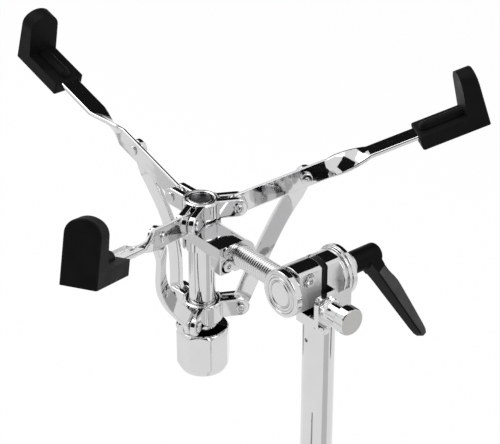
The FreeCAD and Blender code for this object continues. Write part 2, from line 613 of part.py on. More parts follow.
def lever():
    nodes = {}
    x0 = LEVER_HUB_X
    core_end = x0 + LEVER_HUB_T + LEVER_CORE_L
    core = joined(rod(LEVER_FLANGE_R, V(x0, 0, 0), V(x0 + LEVER_HUB_T, 0, 0)),
                  rod(LEVER_HUB_R, V(x0 + LEVER_HUB_T, 0, 0), V(core_end, 0, 0)))
    bore = rod(TILT_BOLT_R + RUN_GAP, V(x0, 0, 0), V(x0 + LEVER_HUB_T + BOLT_IN_HUB + SEAT_GAP, 0, 0))
    screw_bore = rod(LEVER_SCREW_R, V(x0, 0, 0), V(core_end, 0, 0))
    nodes["lever_hub"] = core.cut([bore, screw_bore])

    shell_x = x0 + LEVER_HUB_T + SEAT_GAP
    shell_end = shell_x + LEVER_SHELL_L
    seat_x = core_end + LEVER_FLOOR
    bore_x = seat_x + LEVER_FLOOR
    shell = rod(LEVER_SHELL_R, V(shell_x, 0, 0), V(shell_end, 0, 0))
    dome = [edge for edge in shell.Edges if abs(edge.CenterOfMass.x - shell_end) < SEAT_GAP and edge.Closed]
    shell = shell.makeFillet(LEVER_DOME, dome)
    handle = joined(shell, lever_blade(shell_end))
    handle = handle.cut([rod(LEVER_HUB_R + RUN_GAP, V(shell_x, 0, 0), V(seat_x, 0, 0)),
                         rod(LEVER_SCREW_R + RUN_GAP, V(seat_x, 0, 0), V(shell_end, 0, 0)),
                         rod(LEVER_BORE_R, V(bore_x, 0, 0), V(2 * shell_end, 0, 0))])
    nodes["lever_handle"] = turned(handle, -LEVER_TURN, X)

    head_x = bore_x + LEVER_PULL + SPRING_PLAY
    head_end = head_x + LEVER_SCREW_HEAD_T
    head = rod(LEVER_SCREW_HEAD_R, V(head_x, 0, 0), V(head_end, 0, 0))
    slot = block(head_end - LEVER_SLOT_DEPTH, head_end + 1, -LEVER_SLOT_W / 2, LEVER_SLOT_W / 2,
                 -LEVER_BORE_R, LEVER_BORE_R)
    shank = rod(LEVER_SCREW_R, V(x0 + LEVER_HUB_T + BOLT_IN_HUB + SEAT_GAP, 0, 0), V(head_x, 0, 0))
    nodes["lever_screw"] = joined(head.cut(slot), shank)

    spring_low = bore_x + SEAT_GAP + SPRING_WIRE_R
    spring_run = head_x - SPRING_WIRE_R - SEAT_GAP - spring_low
    nodes["lever_spring"] = spring(spring_low, spring_run)
    return {name: moved(shape, TILT_CENTRE) for name, shape in nodes.items()}


def lever_blade(shell_end):
    """Handle blade hanging from the shell, leaning away from the barrel."""
    slope = math.radians(LEVER_SLOPE)
    root = V(shell_end - LEVER_ROOT_IN, 0, 0)
    lean = V(math.sin(slope), 0, -math.cos(slope))
    normal = V(math.cos(slope), 0, math.sin(slope))
    wires = []
    for share, thick in ((0.0, LEVER_ROOT_THICK), (0.3, LEVER_THICK), (1.0, LEVER_TIP_THICK)):
        middle = root + lean * (LEVER_REACH * share)
        across = Y * ((LEVER_ROOT_W + (LEVER_TIP_W - LEVER_ROOT_W) * share) / 2)
        depth = normal * (thick / 2)
        wires.append(outline([middle + across + depth, middle - across + depth,
                              middle - across - depth, middle + across - depth]))
    blade = Part.makeLoft(wires, True, False)
    tip = root + lean * LEVER_REACH
    end = Part.makeCylinder(LEVER_TIP_W / 2, LEVER_TIP_THICK, tip - normal * (LEVER_TIP_THICK / 2), normal)
    return joined(blade, end)


def spring(start_x, length):
    """Coil along the barrel axis, in half-turn arcs."""
    turns = int(SPRING_COILS * 4)
    points = []
    for k in range(turns + 1):
        angle = math.pi / 2 * k
        points.append(V(start_x + length * k / turns, SPRING_R * math.cos(angle), SPRING_R * math.sin(angle)))
    half_points = []
    for k in range(turns):
        angle = math.pi / 2 * (k + 0.5)
        half_points.append(V(start_x + length * (k + 0.5) / turns, SPRING_R * math.cos(angle),
                             SPRING_R * math.sin(angle)))
    arcs = [Part.Arc(points[k], half_points[k], points[k + 1]).toShape() for k in range(turns)]
    path = Part.Wire(arcs)
    heading = arcs[0].tangentAt(arcs[0].FirstParameter)
    section = Part.Wire(Part.makeCircle(SPRING_WIRE_R, points[0], heading))
    return path.makePipeShell([section], True, False)


# Barrel, offset rod and basket clamp

def offset_mount():
    nodes = {}
    neck_x = BARREL_CAP_X + BARREL_CAP_T
    body_x = neck_x + BARREL_NECK_T
    barrel = joined(flat_fronted(body_x, BARREL_END_X),
                    rod(BARREL_NECK_R, V(neck_x, 0, 0), V(body_x, 0, 0)))
    bolt_way = rod(TILT_BOLT_R + RUN_GAP, V(neck_x - 1, 0, 0), V(BARREL_END_X + 1, 0, 0))
    head_way = rod(BOLT_HEAD_R + SWING_GAP, V(neck_x - 1, 0, 0), V(neck_x + BOLT_HEAD_T + SWING_GAP, 0, 0))
    rod_way = rod(ROD_R, V(BASKET_X, ROD_INNER_Y, -ROD_DROP), V(BASKET_X, 2 * BARREL_R, -ROD_DROP))
    face = V(ROD_BOLT_X, -FRONT_FLAT, ROD_BOLT_Z)
    seat = face + Y * ROD_BOLT_RECESS
    recess = rod(ROD_BOLT_R + SWING_GAP, face - Y, seat)
    screw_way = rod(CAP_SCREW_R, seat, face + Y * ROD_BOLT_DEPTH)
    nodes["tilter_barrel"] = barrel.cut([bolt_way, head_way, rod_way, recess, screw_way])
    bolt_head = hexagon(ROD_BOLT_R, ROD_BOLT_T, seat, -Y)
    socket = hexagon(CAP_SOCKET_R, ROD_BOLT_T, face, -Y)
    nodes["barrel_screw"] = joined(bolt_head.cut(socket), rod(CAP_SCREW_R, seat, face + Y * ROD_BOLT_DEPTH))

    cap = rod(BARREL_R, V(BARREL_CAP_X, 0, 0), V(neck_x, 0, 0))
    rim = [edge for edge in cap.Edges if abs(edge.CenterOfMass.x - BARREL_CAP_X) < SEAT_GAP and edge.Closed]
    cap = cap.makeFillet(CAP_ROUND, rim)
    for outer, inner, depth in CAP_RINGS:
        groove = rod(outer, V(BARREL_CAP_X - 1, 0, 0), V(BARREL_CAP_X + depth, 0, 0))
        cap = cap.cut(groove.cut(rod(inner, V(BARREL_CAP_X - 1, 0, 0), V(BARREL_CAP_X + depth, 0, 0))))
    nodes["barrel_cap"] = cap

    rod_end = CLAMP_FRONT_Y + ROD_IN_CLAMP
    nodes["offset_rod"] = rod(ROD_R, V(BASKET_X, ROD_INNER_Y, -ROD_DROP), V(BASKET_X, rod_end, -ROD_DROP))
    nodes.update(basket_clamp(rod_end))
    return {name: moved(shape, TILT_CENTRE) for name, shape in nodes.items()}


def basket_clamp(rod_end):
    """Casting that saddles the rod and wraps the tube, with a cap under its left side."""
    nodes = {}
    wrap_r = BASKET_TUBE_R + CLAMP_WALL
    low = CLAMP_CAP_BOTTOM
    shoulder = block(CLAMP_LEFT_X, BASKET_X, CLAMP_FRONT_Y, BASKET_Y + CLAMP_JAW, CLAMP_SPLIT, CLAMP_TOP)
    saddle = rod(SADDLE_R, V(BASKET_X, CLAMP_FRONT_Y, -ROD_DROP), V(BASKET_X, BASKET_Y, -ROD_DROP))
    under = block(CLAMP_LEFT_X, -CLAMP_LEFT_X, CLAMP_FRONT_Y - 1, BASKET_Y + 1, low, low - SADDLE_R)
    cap_room = block(CLAMP_LEFT_X, CLAMP_CAP_RIGHT_X + SEAT_GAP, CLAMP_FRONT_Y - 1, CLAMP_CAP_BACK_Y + SEAT_GAP,
                     low - SADDLE_R, CLAMP_SPLIT)
    wrap = Part.makeCylinder(wrap_r, CLAMP_TOP - low, V(BASKET_X, BASKET_Y, low))
    body = joined(shoulder, saddle.cut([under, cap_room]), wrap)
    tube_bore = Part.makeCylinder(BASKET_TUBE_R, 2 * (CLAMP_TOP - low), V(BASKET_X, BASKET_Y, 2 * low))
    rod_bore = rod(ROD_R, V(BASKET_X, CLAMP_FRONT_Y - 1, -ROD_DROP), V(BASKET_X, rod_end, -ROD_DROP))
    slit = block(CLAMP_LEFT_X - 1, BASKET_X - BASKET_TUBE_R + 1, BASKET_Y - CLAMP_SLIT / 2,
                 BASKET_Y + CLAMP_SLIT / 2, low - 1, CLAMP_TOP + 1)
    screw_x = CLAMP_LEFT_X + CAP_SCREW_IN
    upper_z = (CLAMP_TOP + CLAMP_SPLIT) / 2
    lower_z = (CLAMP_SPLIT + low) / 2
    holes = []
    screws = []
    for z, end_y in ((upper_z, BASKET_Y + CLAMP_JAW), (lower_z, CLAMP_CAP_BACK_Y)):
        front = V(screw_x, CLAMP_FRONT_Y - CAP_HEAD_SHOWN, z)
        seat = front + Y * CAP_HEAD_T
        end = V(screw_x, end_y - CAP_HEAD_SHOWN, z)
        holes.append(rod(CAP_HEAD_R, front - Y, seat))
        holes.append(rod(CAP_SCREW_R, seat, end))
        head = rod(CAP_HEAD_R - CAP_HEAD_GAP, front, seat)
        socket = hexagon(CAP_SOCKET_R, CAP_SOCKET_DEPTH, front, Y)
        screws.append(joined(head.cut(socket), rod(CAP_SCREW_R, seat, end)))
    nodes["rod_clamp"] = body.cut([tube_bore, rod_bore, slit] + holes)
    cap = block(CLAMP_LEFT_X + CLAMP_CAP_INSET, CLAMP_CAP_RIGHT_X, CLAMP_FRONT_Y, CLAMP_CAP_BACK_Y,
                low, CLAMP_SPLIT - SEAT_GAP)
    soft = [edge for edge in cap.Edges if edge.CenterOfMass.z < low + SEAT_GAP]
    cap = cap.makeFillet(CLAMP_CAP_ROUND, soft)
    nodes["clamp_cap"] = cap.cut([rod_bore] + holes)
    nodes["clamp_screws"] = group(screws)
    return nodes


# Basket tube, hub, collar and nut

def clevis(pivot_r, pivot_z, root_r, slot):
    """Pair of ears on the +X side, rounded about their pin."""
    half = EAR_W / 2
    low = pivot_z - EAR_R
    high = pivot_z + EAR_R
    ear = block(root_r, pivot_r, -half, half, low, high)
    end = cross_hole(EAR_R, V(pivot_r, 0, pivot_z), half)
    gap = block(root_r + EAR_FLOOR, pivot_r + EAR_R + 1, -slot / 2, slot / 2, low - 1, high + 1)
    hole = cross_hole(PIN_R, V(pivot_r, 0, pivot_z), EAR_W)
    return joined(ear, end).cut([gap, hole])


def pivot_screw(point, low_t, high_t, head_r=PIN_HEAD_R):
    """Socket screw from the -Y side with a low round nut on the +Y side."""
    start = point + Y * low_t
    end = point + Y * high_t
    pin = rod(PIN_R, start - Y * SEAT_GAP, end + Y * SEAT_GAP)
    head = lathe([(0, 0), (head_r, 0), (head_r, PIN_HEAD_T - PIN_EASE), (head_r - PIN_EASE, PIN_HEAD_T),
                  (0, PIN_HEAD_T)], start - Y * SEAT_GAP, -Y)
    socket = hexagon(PIN_SOCKET_R, PIN_SOCKET_DEPTH, start - Y * (SEAT_GAP + PIN_HEAD_T), Y)
    nut = lathe([(0, 0), (PIN_END_R, 0), (PIN_END_R, PIN_END_T - PIN_EASE), (PIN_END_R - PIN_EASE, PIN_END_T),
                 (0, PIN_END_T)], end + Y * SEAT_GAP, Y)
    return joined(pin, head.cut(socket), nut)


def basket_core():
    nodes = {}
    tube_low = NUT_BOTTOM + TUBE_PAST_NUT
    plug_low = HUB_TOP - HUB_RECESS_T
    tube_top = plug_low - HUB_FLOOR
    tube = Part.makeCylinder(BASKET_TUBE_R, tube_top - tube_low, V(0, 0, tube_low))
    nodes["basket_tube"] = tube.cut(Part.makeCylinder(BASKET_TUBE_R - TUBE_WALL, tube_top - tube_low,
                                                      V(0, 0, tube_low)))
    land_r = HUB_R - RIM_EASE - RIM_LAND
    hub = lathe([(0, HUB_BOTTOM), (HUB_R - RIM_EASE, HUB_BOTTOM), (HUB_R, HUB_BOTTOM + RIM_EASE),
                 (HUB_R, HUB_TOP - RIM_EASE), (HUB_R - RIM_EASE, HUB_TOP), (land_r, HUB_TOP),
                 (land_r - RIM_GROOVE, HUB_TOP - RIM_GROOVE), (HUB_RECESS_R + RIM_GROOVE, HUB_TOP - RIM_GROOVE),
                 (HUB_RECESS_R, HUB_TOP), (0, HUB_TOP)])
    ears = clevis(PIVOT_R, PIVOT_Z, HUB_R - EAR_ROOT, ARM_SLOT)
    hub = joined(hub, *[turned(ears, azimuth) for azimuth in ARM_AZIMUTHS])
    recess = Part.makeCylinder(PLUG_R, HUB_RECESS_T, V(0, 0, plug_low))
    socket = Part.makeCylinder(BASKET_TUBE_R, tube_top - HUB_BOTTOM, V(0, 0, HUB_BOTTOM))
    nodes["basket_hub"] = hub.cut([recess, socket])
    plug_r = PLUG_R - SEAT_GAP
    plug_rim = plug_low + PLUG_T
    nodes["hub_plug"] = lathe([(0, plug_low), (plug_r, plug_low), (plug_r, plug_rim),
                               (0, plug_rim + PLUG_CROWN)])
    pin = pivot_screw(V(PIVOT_R, 0, PIVOT_Z), -EAR_W / 2, EAR_W / 2)
    nodes["hub_pins"] = group(turned(pin, azimuth) for azimuth in ARM_AZIMUTHS)

    sleeve_low = COLLAR_BOTTOM - COLLAR_SLEEVE_L
    collar = lathe([(0, sleeve_low), (COLLAR_SLEEVE_R, sleeve_low), (COLLAR_SLEEVE_R, COLLAR_BOTTOM),
                    (COLLAR_R, COLLAR_BOTTOM), (COLLAR_R, COLLAR_TOP - RIM_EASE),
                    (COLLAR_R - RIM_EASE, COLLAR_TOP), (0, COLLAR_TOP)])
    ears = clevis(COLLAR_PIVOT_R, COLLAR_PIVOT_Z, COLLAR_R - EAR_ROOT, LINK_SLOT)
    collar = joined(collar, *[turned(ears, azimuth) for azimuth in ARM_AZIMUTHS])
    bore = Part.makeCylinder(BASKET_TUBE_R + RUN_GAP, COLLAR_TOP - sleeve_low, V(0, 0, sleeve_low))
    nodes["basket_collar"] = collar.cut(bore)
    pin = pivot_screw(V(COLLAR_PIVOT_R, 0, COLLAR_PIVOT_Z), -EAR_W / 2, EAR_W / 2)
    nodes["collar_pins"] = group(turned(pin, azimuth) for azimuth in ARM_AZIMUTHS)
    nodes.update(adjuster(sleeve_low))
    return {name: moved(shape, BASKET_BASE) for name, shape in nodes.items()}


def adjuster(sleeve_low):
    nodes = {}
    points = []
    for k in range(NUT_SIDES):
        angle = math.radians(NUT_TURN + 360.0 / NUT_SIDES * k)
        points.append(V(NUT_R * math.cos(angle), NUT_R * math.sin(angle), NUT_BOTTOM))
    prism = plate(points, V(0, 0, NUT_TOP - NUT_BOTTOM))
    form = lathe([(0, NUT_BOTTOM), (NUT_R - NUT_CHAMFER_IN, NUT_BOTTOM), (NUT_R, NUT_BOTTOM + NUT_CHAMFER),
                  (NUT_R, NUT_TOP - NUT_TOP_EASE), (NUT_R - NUT_TOP_EASE, NUT_TOP), (0, NUT_TOP)])
    nut = prism.common(form)
    shelf = sleeve_low - SEAT_GAP
    counterbore = Part.makeCylinder(NUT_LINER_R, NUT_TOP - shelf, V(0, 0, shelf))
    bore = Part.makeCylinder(BASKET_TUBE_R + RUN_GAP, NUT_TOP - NUT_BOTTOM, V(0, 0, NUT_BOTTOM))
    nodes["adjuster_nut"] = nut.cut([counterbore, bore])
    liner_top = NUT_TOP - LINER_DROP
    liner = Part.makeCylinder(NUT_LINER_R - SEAT_GAP, liner_top - shelf, V(0, 0, shelf))
    inside = Part.makeCylinder(COLLAR_SLEEVE_R + LINER_GAP, liner_top - shelf, V(0, 0, shelf))
    nodes["nut_liner"] = liner.cut(inside)
    return nodes


# Arms, tips and links

def arm_strap():
    half = ARM_H / 2
    straight = block(0, TWIST_START, -ARM_T / 2, ARM_T / 2, -half, half)
    eye = rod(ARM_EYE_R, V(0, -ARM_T / 2, 0), V(0, ARM_T / 2, 0))
    wires = []
    steps = 6
    for k in range(steps + 1):
        share = k / steps
        s = TWIST_START + (TWIST_END - TWIST_START) * share
        wire = outline([V(s, -ARM_T / 2, -half), V(s, ARM_T / 2, -half), V(s, ARM_T / 2, half),
                        V(s, -ARM_T / 2, half)])
        wires.append(turned(wire, -90.0 * share, X))
    twist = Part.makeLoft(wires, True, False)
    flat = block(TWIST_END, ARM_END, -half, half, -ARM_T / 2, ARM_T / 2)
    strap = joined(straight, eye, twist, flat)
    holes = [cross_hole(PIN_R + RUN_GAP, ORIGIN, ARM_T), cross_hole(PIN_R, V(LINK_PIVOT, 0, 0), ARM_T)]
    return strap.cut(holes), flat


def rubber_tip(flat):
    half = TIP_W / 2
    back = TIP_END - TIP_POST_T
    pad = block(TIP_START, back + TIP_POST_TOP_T, -half, half, -TIP_BELOW, TIP_PAD_TOP)
    left = V(back, -half, TIP_SHOULDER)
    right = V(back, half, TIP_SHOULDER)
    crown = V(back, 0, TIP_POST_TOP)
    lean = half * 0.62
    bow = TIP_SHOULDER + (TIP_POST_TOP - TIP_SHOULDER) * 0.80
    edges = [Part.makeLine(V(back, -half, -TIP_BELOW), left),
             Part.Arc(left, V(back, -half * 0.91, TIP_SHOULDER + (bow - TIP_SHOULDER) * 0.55),
                      V(back, -lean, bow)).toShape(),
             Part.Arc(V(back, -lean, bow), crown, V(back, lean, bow)).toShape(),
             Part.Arc(V(back, lean, bow), V(back, half * 0.91, TIP_SHOULDER + (bow - TIP_SHOULDER) * 0.55),
                      right).toShape(),
             Part.makeLine(right, V(back, half, -TIP_BELOW)),
             Part.makeLine(V(back, half, -TIP_BELOW), V(back, -half, -TIP_BELOW))]
    post = Part.Face(Part.Wire(edges)).extrude(V(TIP_POST_T, 0, 0))
    taper = TIP_POST_T - TIP_POST_TOP_T
    inner = plate([V(back, -TIP_W, TIP_PAD_TOP), V(back + taper, -TIP_W, TIP_POST_TOP),
                   V(back - 1, -TIP_W, TIP_POST_TOP + 1), V(back - 1, -TIP_W, TIP_PAD_TOP)],
                  V(0, 2 * TIP_W, 0))
    post = post.cut(inner)
    rib_start = TIP_START + TIP_RIB_R + TIP_RIB_IN
    rib = joined(rod(TIP_RIB_R, V(rib_start, 0, TIP_PAD_TOP), V(back + 1, 0, TIP_PAD_TOP)),
                 Part.makeSphere(TIP_RIB_R, V(rib_start, 0, TIP_PAD_TOP)))
    shell = joined(pad, post)
    rounded = [edge for edge in shell.Edges
               if edge.CenterOfMass.x > TIP_END - SEAT_GAP and edge.CenterOfMass.z > 0]
    rounded += [edge for edge in shell.Edges if abs(edge.CenterOfMass.x - TIP_START) < SEAT_GAP]
    shell = shell.makeFillet(TIP_ROUND, rounded)
    return joined(shell, rib).cut(flat)


def link(side):
    """Formed strap: flat at both eyes, bowed sideways and outwards between them."""
    top = V(LINK_TOP_R, side * LINK_MID_T, LINK_TOP_Z)
    low = V(COLLAR_PIVOT_R, 0, COLLAR_PIVOT_Z)
    run = V(low.x - top.x, 0, low.z - top.z)
    along = V(run).normalize()
    across = V(-along.z, 0, along.x)
    seat_end = top + along * LINK_SEAT_L
    heel_end = low - along * LINK_HEEL_L
    wires = []
    for share, belly, seated, bowed in ((0.0, 0.0, 1.0, 0.0), (0.28, 0.1, 1.0, 0.64), (0.6, 0.7, 1.0, 1.0),
                                        (0.85, 0.4, 1.0, 0.25), (1.0, 0.0, 0.0, 0.0)):
        flat_run = along * ((run.Length - LINK_SEAT_L - LINK_HEEL_L) * share)
        aside = side * (LINK_MID_T * (seated - 1.0) + LINK_BOW * bowed)
        middle = seat_end + flat_run + across * (LINK_BELLY * belly) + Y * aside
        wires.append(outline([middle + across * (LINK_W / 2) + Y * (LINK_T / 2),
                              middle - across * (LINK_W / 2) + Y * (LINK_T / 2),
                              middle - across * (LINK_W / 2) - Y * (LINK_T / 2),
                              middle + across * (LINK_W / 2) - Y * (LINK_T / 2)]))
    bow = Part.makeLoft(wires, True, False)
    seat = flat_bar(top, seat_end, LINK_W, -LINK_T / 2, LINK_T / 2)
    heel = flat_bar(low, heel_end, LINK_W, -LINK_T / 2, LINK_T / 2)
    eye = cross_hole(LINK_EYE_R, top, LINK_T / 2)
    foot_eye = cross_hole(LINK_FOOT_R, low, LINK_T / 2)
    holes = [cross_hole(PIN_R + RUN_GAP, top, LINK_T), cross_hole(PIN_R + COLLAR_OPEN_GAP, low, LINK_T)]
    return joined(bow, seat, heel, eye, foot_eye).cut(holes)


def arms():
    nodes = {}
    strap, flat = arm_strap()
    tip = rubber_tip(flat)
    near = ARM_T / 2
    far = LINK_MID_T + LINK_T / 2
    for i, azimuth in enumerate(ARM_AZIMUTHS):
        number = str(i + 1)
        side = LINK_SIDES[i]
        brace = link(side)
        low_t, high_t = (-near, far) if side > 0 else (-far, near)
        pin = pivot_screw(V(LINK_TOP_R, 0, LINK_TOP_Z), low_t, high_t, LINK_HEAD_R)
        nodes["arm_" + number] = about_basket(on_arm(strap), azimuth)
        nodes["arm_tip_" + number] = about_basket(on_arm(tip), azimuth)
        nodes["link_pin_" + number] = about_basket(pin, azimuth)
        nodes["link_" + number] = about_basket(brace, azimuth)
    return nodes


def main():
    os.makedirs("parts", exist_ok=True)
    for build in (tripod, mast, tilter_head, lever, offset_mount, basket_core, arms):
        for name, shape in build().items():
            shape.exportStep("parts/" + name + ".step")
            print(name, len(shape.Solids), round(shape.Volume), shape.isValid())


main()
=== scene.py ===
import json
import math

import bpy
from mathutils import Matrix, Vector


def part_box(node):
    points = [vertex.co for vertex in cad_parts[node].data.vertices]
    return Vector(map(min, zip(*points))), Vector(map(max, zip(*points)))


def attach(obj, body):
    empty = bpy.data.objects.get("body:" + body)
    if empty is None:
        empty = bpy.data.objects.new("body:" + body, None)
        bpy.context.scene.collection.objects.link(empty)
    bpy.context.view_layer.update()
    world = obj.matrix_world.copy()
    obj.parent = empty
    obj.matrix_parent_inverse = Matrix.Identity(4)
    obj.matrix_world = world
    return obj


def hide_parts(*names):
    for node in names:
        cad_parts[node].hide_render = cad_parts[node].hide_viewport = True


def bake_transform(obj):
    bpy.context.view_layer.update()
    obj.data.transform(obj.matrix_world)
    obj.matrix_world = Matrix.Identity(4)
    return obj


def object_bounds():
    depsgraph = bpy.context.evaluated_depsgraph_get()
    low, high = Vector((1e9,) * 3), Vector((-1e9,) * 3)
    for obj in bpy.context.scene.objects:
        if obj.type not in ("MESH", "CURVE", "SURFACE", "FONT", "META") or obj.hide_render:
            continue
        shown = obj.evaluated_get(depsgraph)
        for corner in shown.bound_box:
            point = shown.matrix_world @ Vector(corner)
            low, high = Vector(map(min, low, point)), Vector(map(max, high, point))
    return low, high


bl_info = {
    "name": "Snare drum stand",
    "version": (1, 0, 0),
    "blender": (4, 5, 0),
    "location": "View3D > Sidebar > Stand",
    "description": "Dresses the packed snare drum stand in chrome, rubber and moulded plastic",
    "category": "Object",
}

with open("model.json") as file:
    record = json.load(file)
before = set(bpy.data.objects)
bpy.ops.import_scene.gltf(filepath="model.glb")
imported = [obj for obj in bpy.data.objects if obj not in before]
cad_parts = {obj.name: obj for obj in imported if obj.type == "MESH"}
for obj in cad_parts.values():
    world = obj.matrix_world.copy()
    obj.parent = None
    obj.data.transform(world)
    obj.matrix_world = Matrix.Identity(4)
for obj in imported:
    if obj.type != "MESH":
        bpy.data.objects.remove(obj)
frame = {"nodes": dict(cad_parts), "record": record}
CAD_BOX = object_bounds()
NODE_BODY = {node: body for body, nodes in frame["record"]["behaviour"]["bodies"].items() for node in nodes}
THREE = ("1", "2", "3")
MM_PER_METRE = 1000

# Mesh work: distances in metres that count as one place, angles in degrees, steps across a rounded edge
SEW_REACH = 0.000002
SAME_PLACE = 0.00001
NEAR_PLACE = 0.00002
FLAT_ANGLE = 0.6
EDGE_ANGLE = 34.0
SMOOTH_ANGLE = 38.0
FINE_STEPS = 2
ROUND_STEPS = 3
CAST_STEPS = 4

# Tripod
RIVET_PLAY = 0.00012
WING_ROUND_SHARE = 1.5

# Tilter: places in metres, and how squarely a face looks along an axis to get the satin finish
BARREL_Z = 0.480
DISC_FRONT = -0.0088
POCKET_BACK = -0.016
POCKET_FRONT = -0.012
SQUARE_ON = 0.98

# Lever: turn and slope in degrees, and blade sections in millimetres (down, inner, outer, across)
LEVER_ROOT = Vector((0.0415, 0.0, BARREL_Z))
LEVER_TURN = 27.0
LEVER_SLOPE = 22.0
# Height and facing of the lever's front faces that get a lighter grey, a painted sheen
LEVER_SHEEN_TOP = 0.4735
LEVER_SHEEN_TURN = 0.8
BLADE_CUT = 0.0125
BLADE_ROUND = 0.0013
BLADE_SECTIONS = ((7.0, -4.4, 4.9, 14.4), (11.0, -4.0, 4.5, 14.0), (15.0, -3.7, 4.6, 13.7),
                  (19.0, -3.5, 5.2, 13.3), (22.5, -3.45, 6.0, 13.0), (26.0, -3.4, 6.4, 12.7),
                  (30.0, -3.35, 6.3, 12.4), (40.0, -3.2, 5.6, 11.5), (52.0, -3.0, 4.7, 10.5),
                  (62.0, -2.85, 3.9, 9.6), (67.0, -2.6, 3.4, 8.8), (70.4, -1.8, 2.5, 7.2))

# Tilt knob
KNOB_RING_R = 0.0076
KNOB_RING_T = 0.0046
KNOB_WAIST_R = 0.0062
KNOB_WAIST_L = 0.0110
KNOB_DISC_T = 0.0080
KNOB_STEM_R = 0.0025
KNOB_EASE = 0.0008
KNOB_END_TURN = 0.99

# Offset rod: parts of one ridge as shares of the pitch
ROD_SIDES = 56
ROD_SMOOTH_ANGLE = 50.0
RIDGE_FLANK = 0.30
RIDGE_CREST = 0.25
RIDGE_FOOT = 0.15

# Basket
NUT_ROUND_SHARE = 1.4

# Finishes: greys, pattern scales, shares of a colour, and depths of relief in metres
CASTING_GREY = (0.82, 0.82, 0.82)
STEEL_GREY = (0.42, 0.42, 0.43)
TURNED_GREY = (0.60, 0.595, 0.58)
PLUG_GREY = (0.13, 0.13, 0.135)
# Lighter grey on the lever's front face: a painted sheen, where the face reflects the bright right side
LEVER_SHEEN_GREY = (0.058, 0.058, 0.060)
# Black of the nylon bush and friction disc, also used on the nut's liner as painted shade in the nut's open
# top
NYLON_AND_SHADE_BLACK = (0.012, 0.012, 0.012)
NOISE_LOW = 0.3
NOISE_HIGH = 0.7
HAZE_SCALE = 60.0
HAZE_SHARE = 0.96
MARK_SCALE = 420.0
BUFF_SCALE = 90.0
BUFF_DEPTH = 0.0006
WEAR_SCALE = 75.0
WEAR_SHARE = 1.7
GRAIN_DEPTH = 0.0003
MOULDED_SHINE = 0.06
PLASTIC_GRAIN_SCALE = 2400.0
PLASTIC_GRAIN = 0.30

# Studio floor and background
WHITE = (1, 1, 1, 1)
FLOOR_SIZE = 14.0
FLOOR_GAP = 0.0005
FLOOR_CLOUD_SCALE = 3.0
FLOOR_CLOUD_SHARE = 0.985
FLOOR_ROUGHNESS = 0.8
FLOOR_SHINE = 0.1
FLOOR_GLOW = 1.05
FLOOR_GLOW_SHARE = 0.86
WORLD_LIGHT = 0.5
WORLD_SHOWN = 1.0

# Lamps: name, azimuth, elevation, size and power
STUDIO_CENTRE = Vector((-0.03, 0.05, BARREL_Z))
LAMP_DISTANCE = 2.4
LAMPS = (("left_softbox", 105.0, 55.0, 1.6, 18.0),
         ("right_softbox", 288.0, 48.0, 1.3, 12.0))

# Cards: name, azimuths, elevations, distance and tone
CARDS = (("back_flag", (6, 69), (17, 62), 2.2, 0.01),
         ("back_flag_foot", (6, 69), (6, 17), 2.2, 0.22),
         ("front_flag", (172, 246), (13, 68), 2.6, 0.01),
         ("back_floor_card", (328, 395), (-46, -18), 0.95, 0.45),
         ("left_floor_card", (92, 122), (-46, -18), 0.92, 0.58),
         ("near_left_card", (122, 163), (-46, -18), 0.92, 0.76),
         ("left_line_card", (163, 167), (-46, -20), 0.85, 0.03),
         ("right_shade_card", (270, 304), (-46, -18), 0.62, 0.66),
         ("right_floor_card", (296, 317), (-46, -18), 0.92, 0.82),
         ("right_line_card", (318, 326), (-46, -20), 0.85, 0.03))

# Camera: direction, target and distance in metres, lens and sensor in millimetres
CAMERA_FORWARD = Vector((0.5546, 0.6747, -0.4869)).normalized()
CAMERA_TARGET = Vector((-0.05928, 0.0, BARREL_Z + 0.06214))
CAMERA_DISTANCE = 1.050
CAMERA_LENS = 122.42
CAMERA_SENSOR = 36.0
CAMERA_NEAR = 0.05
CAMERA_FAR = 50.0


# Sizes and colours that a user would change

class StandSizes(bpy.types.PropertyGroup):
    edge_round: bpy.props.FloatProperty(
        name="Edge round", description="Rounding on the plated parts' edges",
        default=0.0006, min=0.0, max=0.003, unit="LENGTH", precision=5)
    casting_round: bpy.props.FloatProperty(
        name="Casting round", description="Rounding on the cast edges of basket hub, collar and clamp cap",
        default=0.0011, min=0.0, max=0.003, unit="LENGTH", precision=5)
    strap_round: bpy.props.FloatProperty(
        name="Strap round", description="Rounding on the arms' rolled edges",
        default=0.0014, min=0.0, max=0.0015, unit="LENGTH", precision=5)
    fine_round: bpy.props.FloatProperty(
        name="Fine edge round", description="Rounding on tubes, legs, screws, pins and rivets",
        default=0.00025, min=0.0, max=0.001, unit="LENGTH", precision=5)
    rubber_round: bpy.props.FloatProperty(
        name="Rubber round", description="Rounding on the edges of the rubber tips and feet",
        default=0.0011, min=0.0, max=0.003, unit="LENGTH", precision=5)
    ridge_pitch: bpy.props.FloatProperty(
        name="Ridge pitch", description="Distance between the offset rod's ridges",
        default=0.0020, min=0.0008, max=0.003, unit="LENGTH", precision=5)
    ridge_depth: bpy.props.FloatProperty(
        name="Ridge depth", description="Depth of the offset rod's grooves",
        default=0.0007, min=0.0, max=0.001, unit="LENGTH", precision=5)
    knurl_count: bpy.props.IntProperty(
        name="Knurl count", description="Teeth round the tilt knob's rings", default=46, min=16, max=80)
    knurl_depth: bpy.props.FloatProperty(
        name="Knurl depth", description="Depth of the teeth round the tilt knob's rings",
        default=0.00045, min=0.0, max=0.001, unit="LENGTH", precision=5)


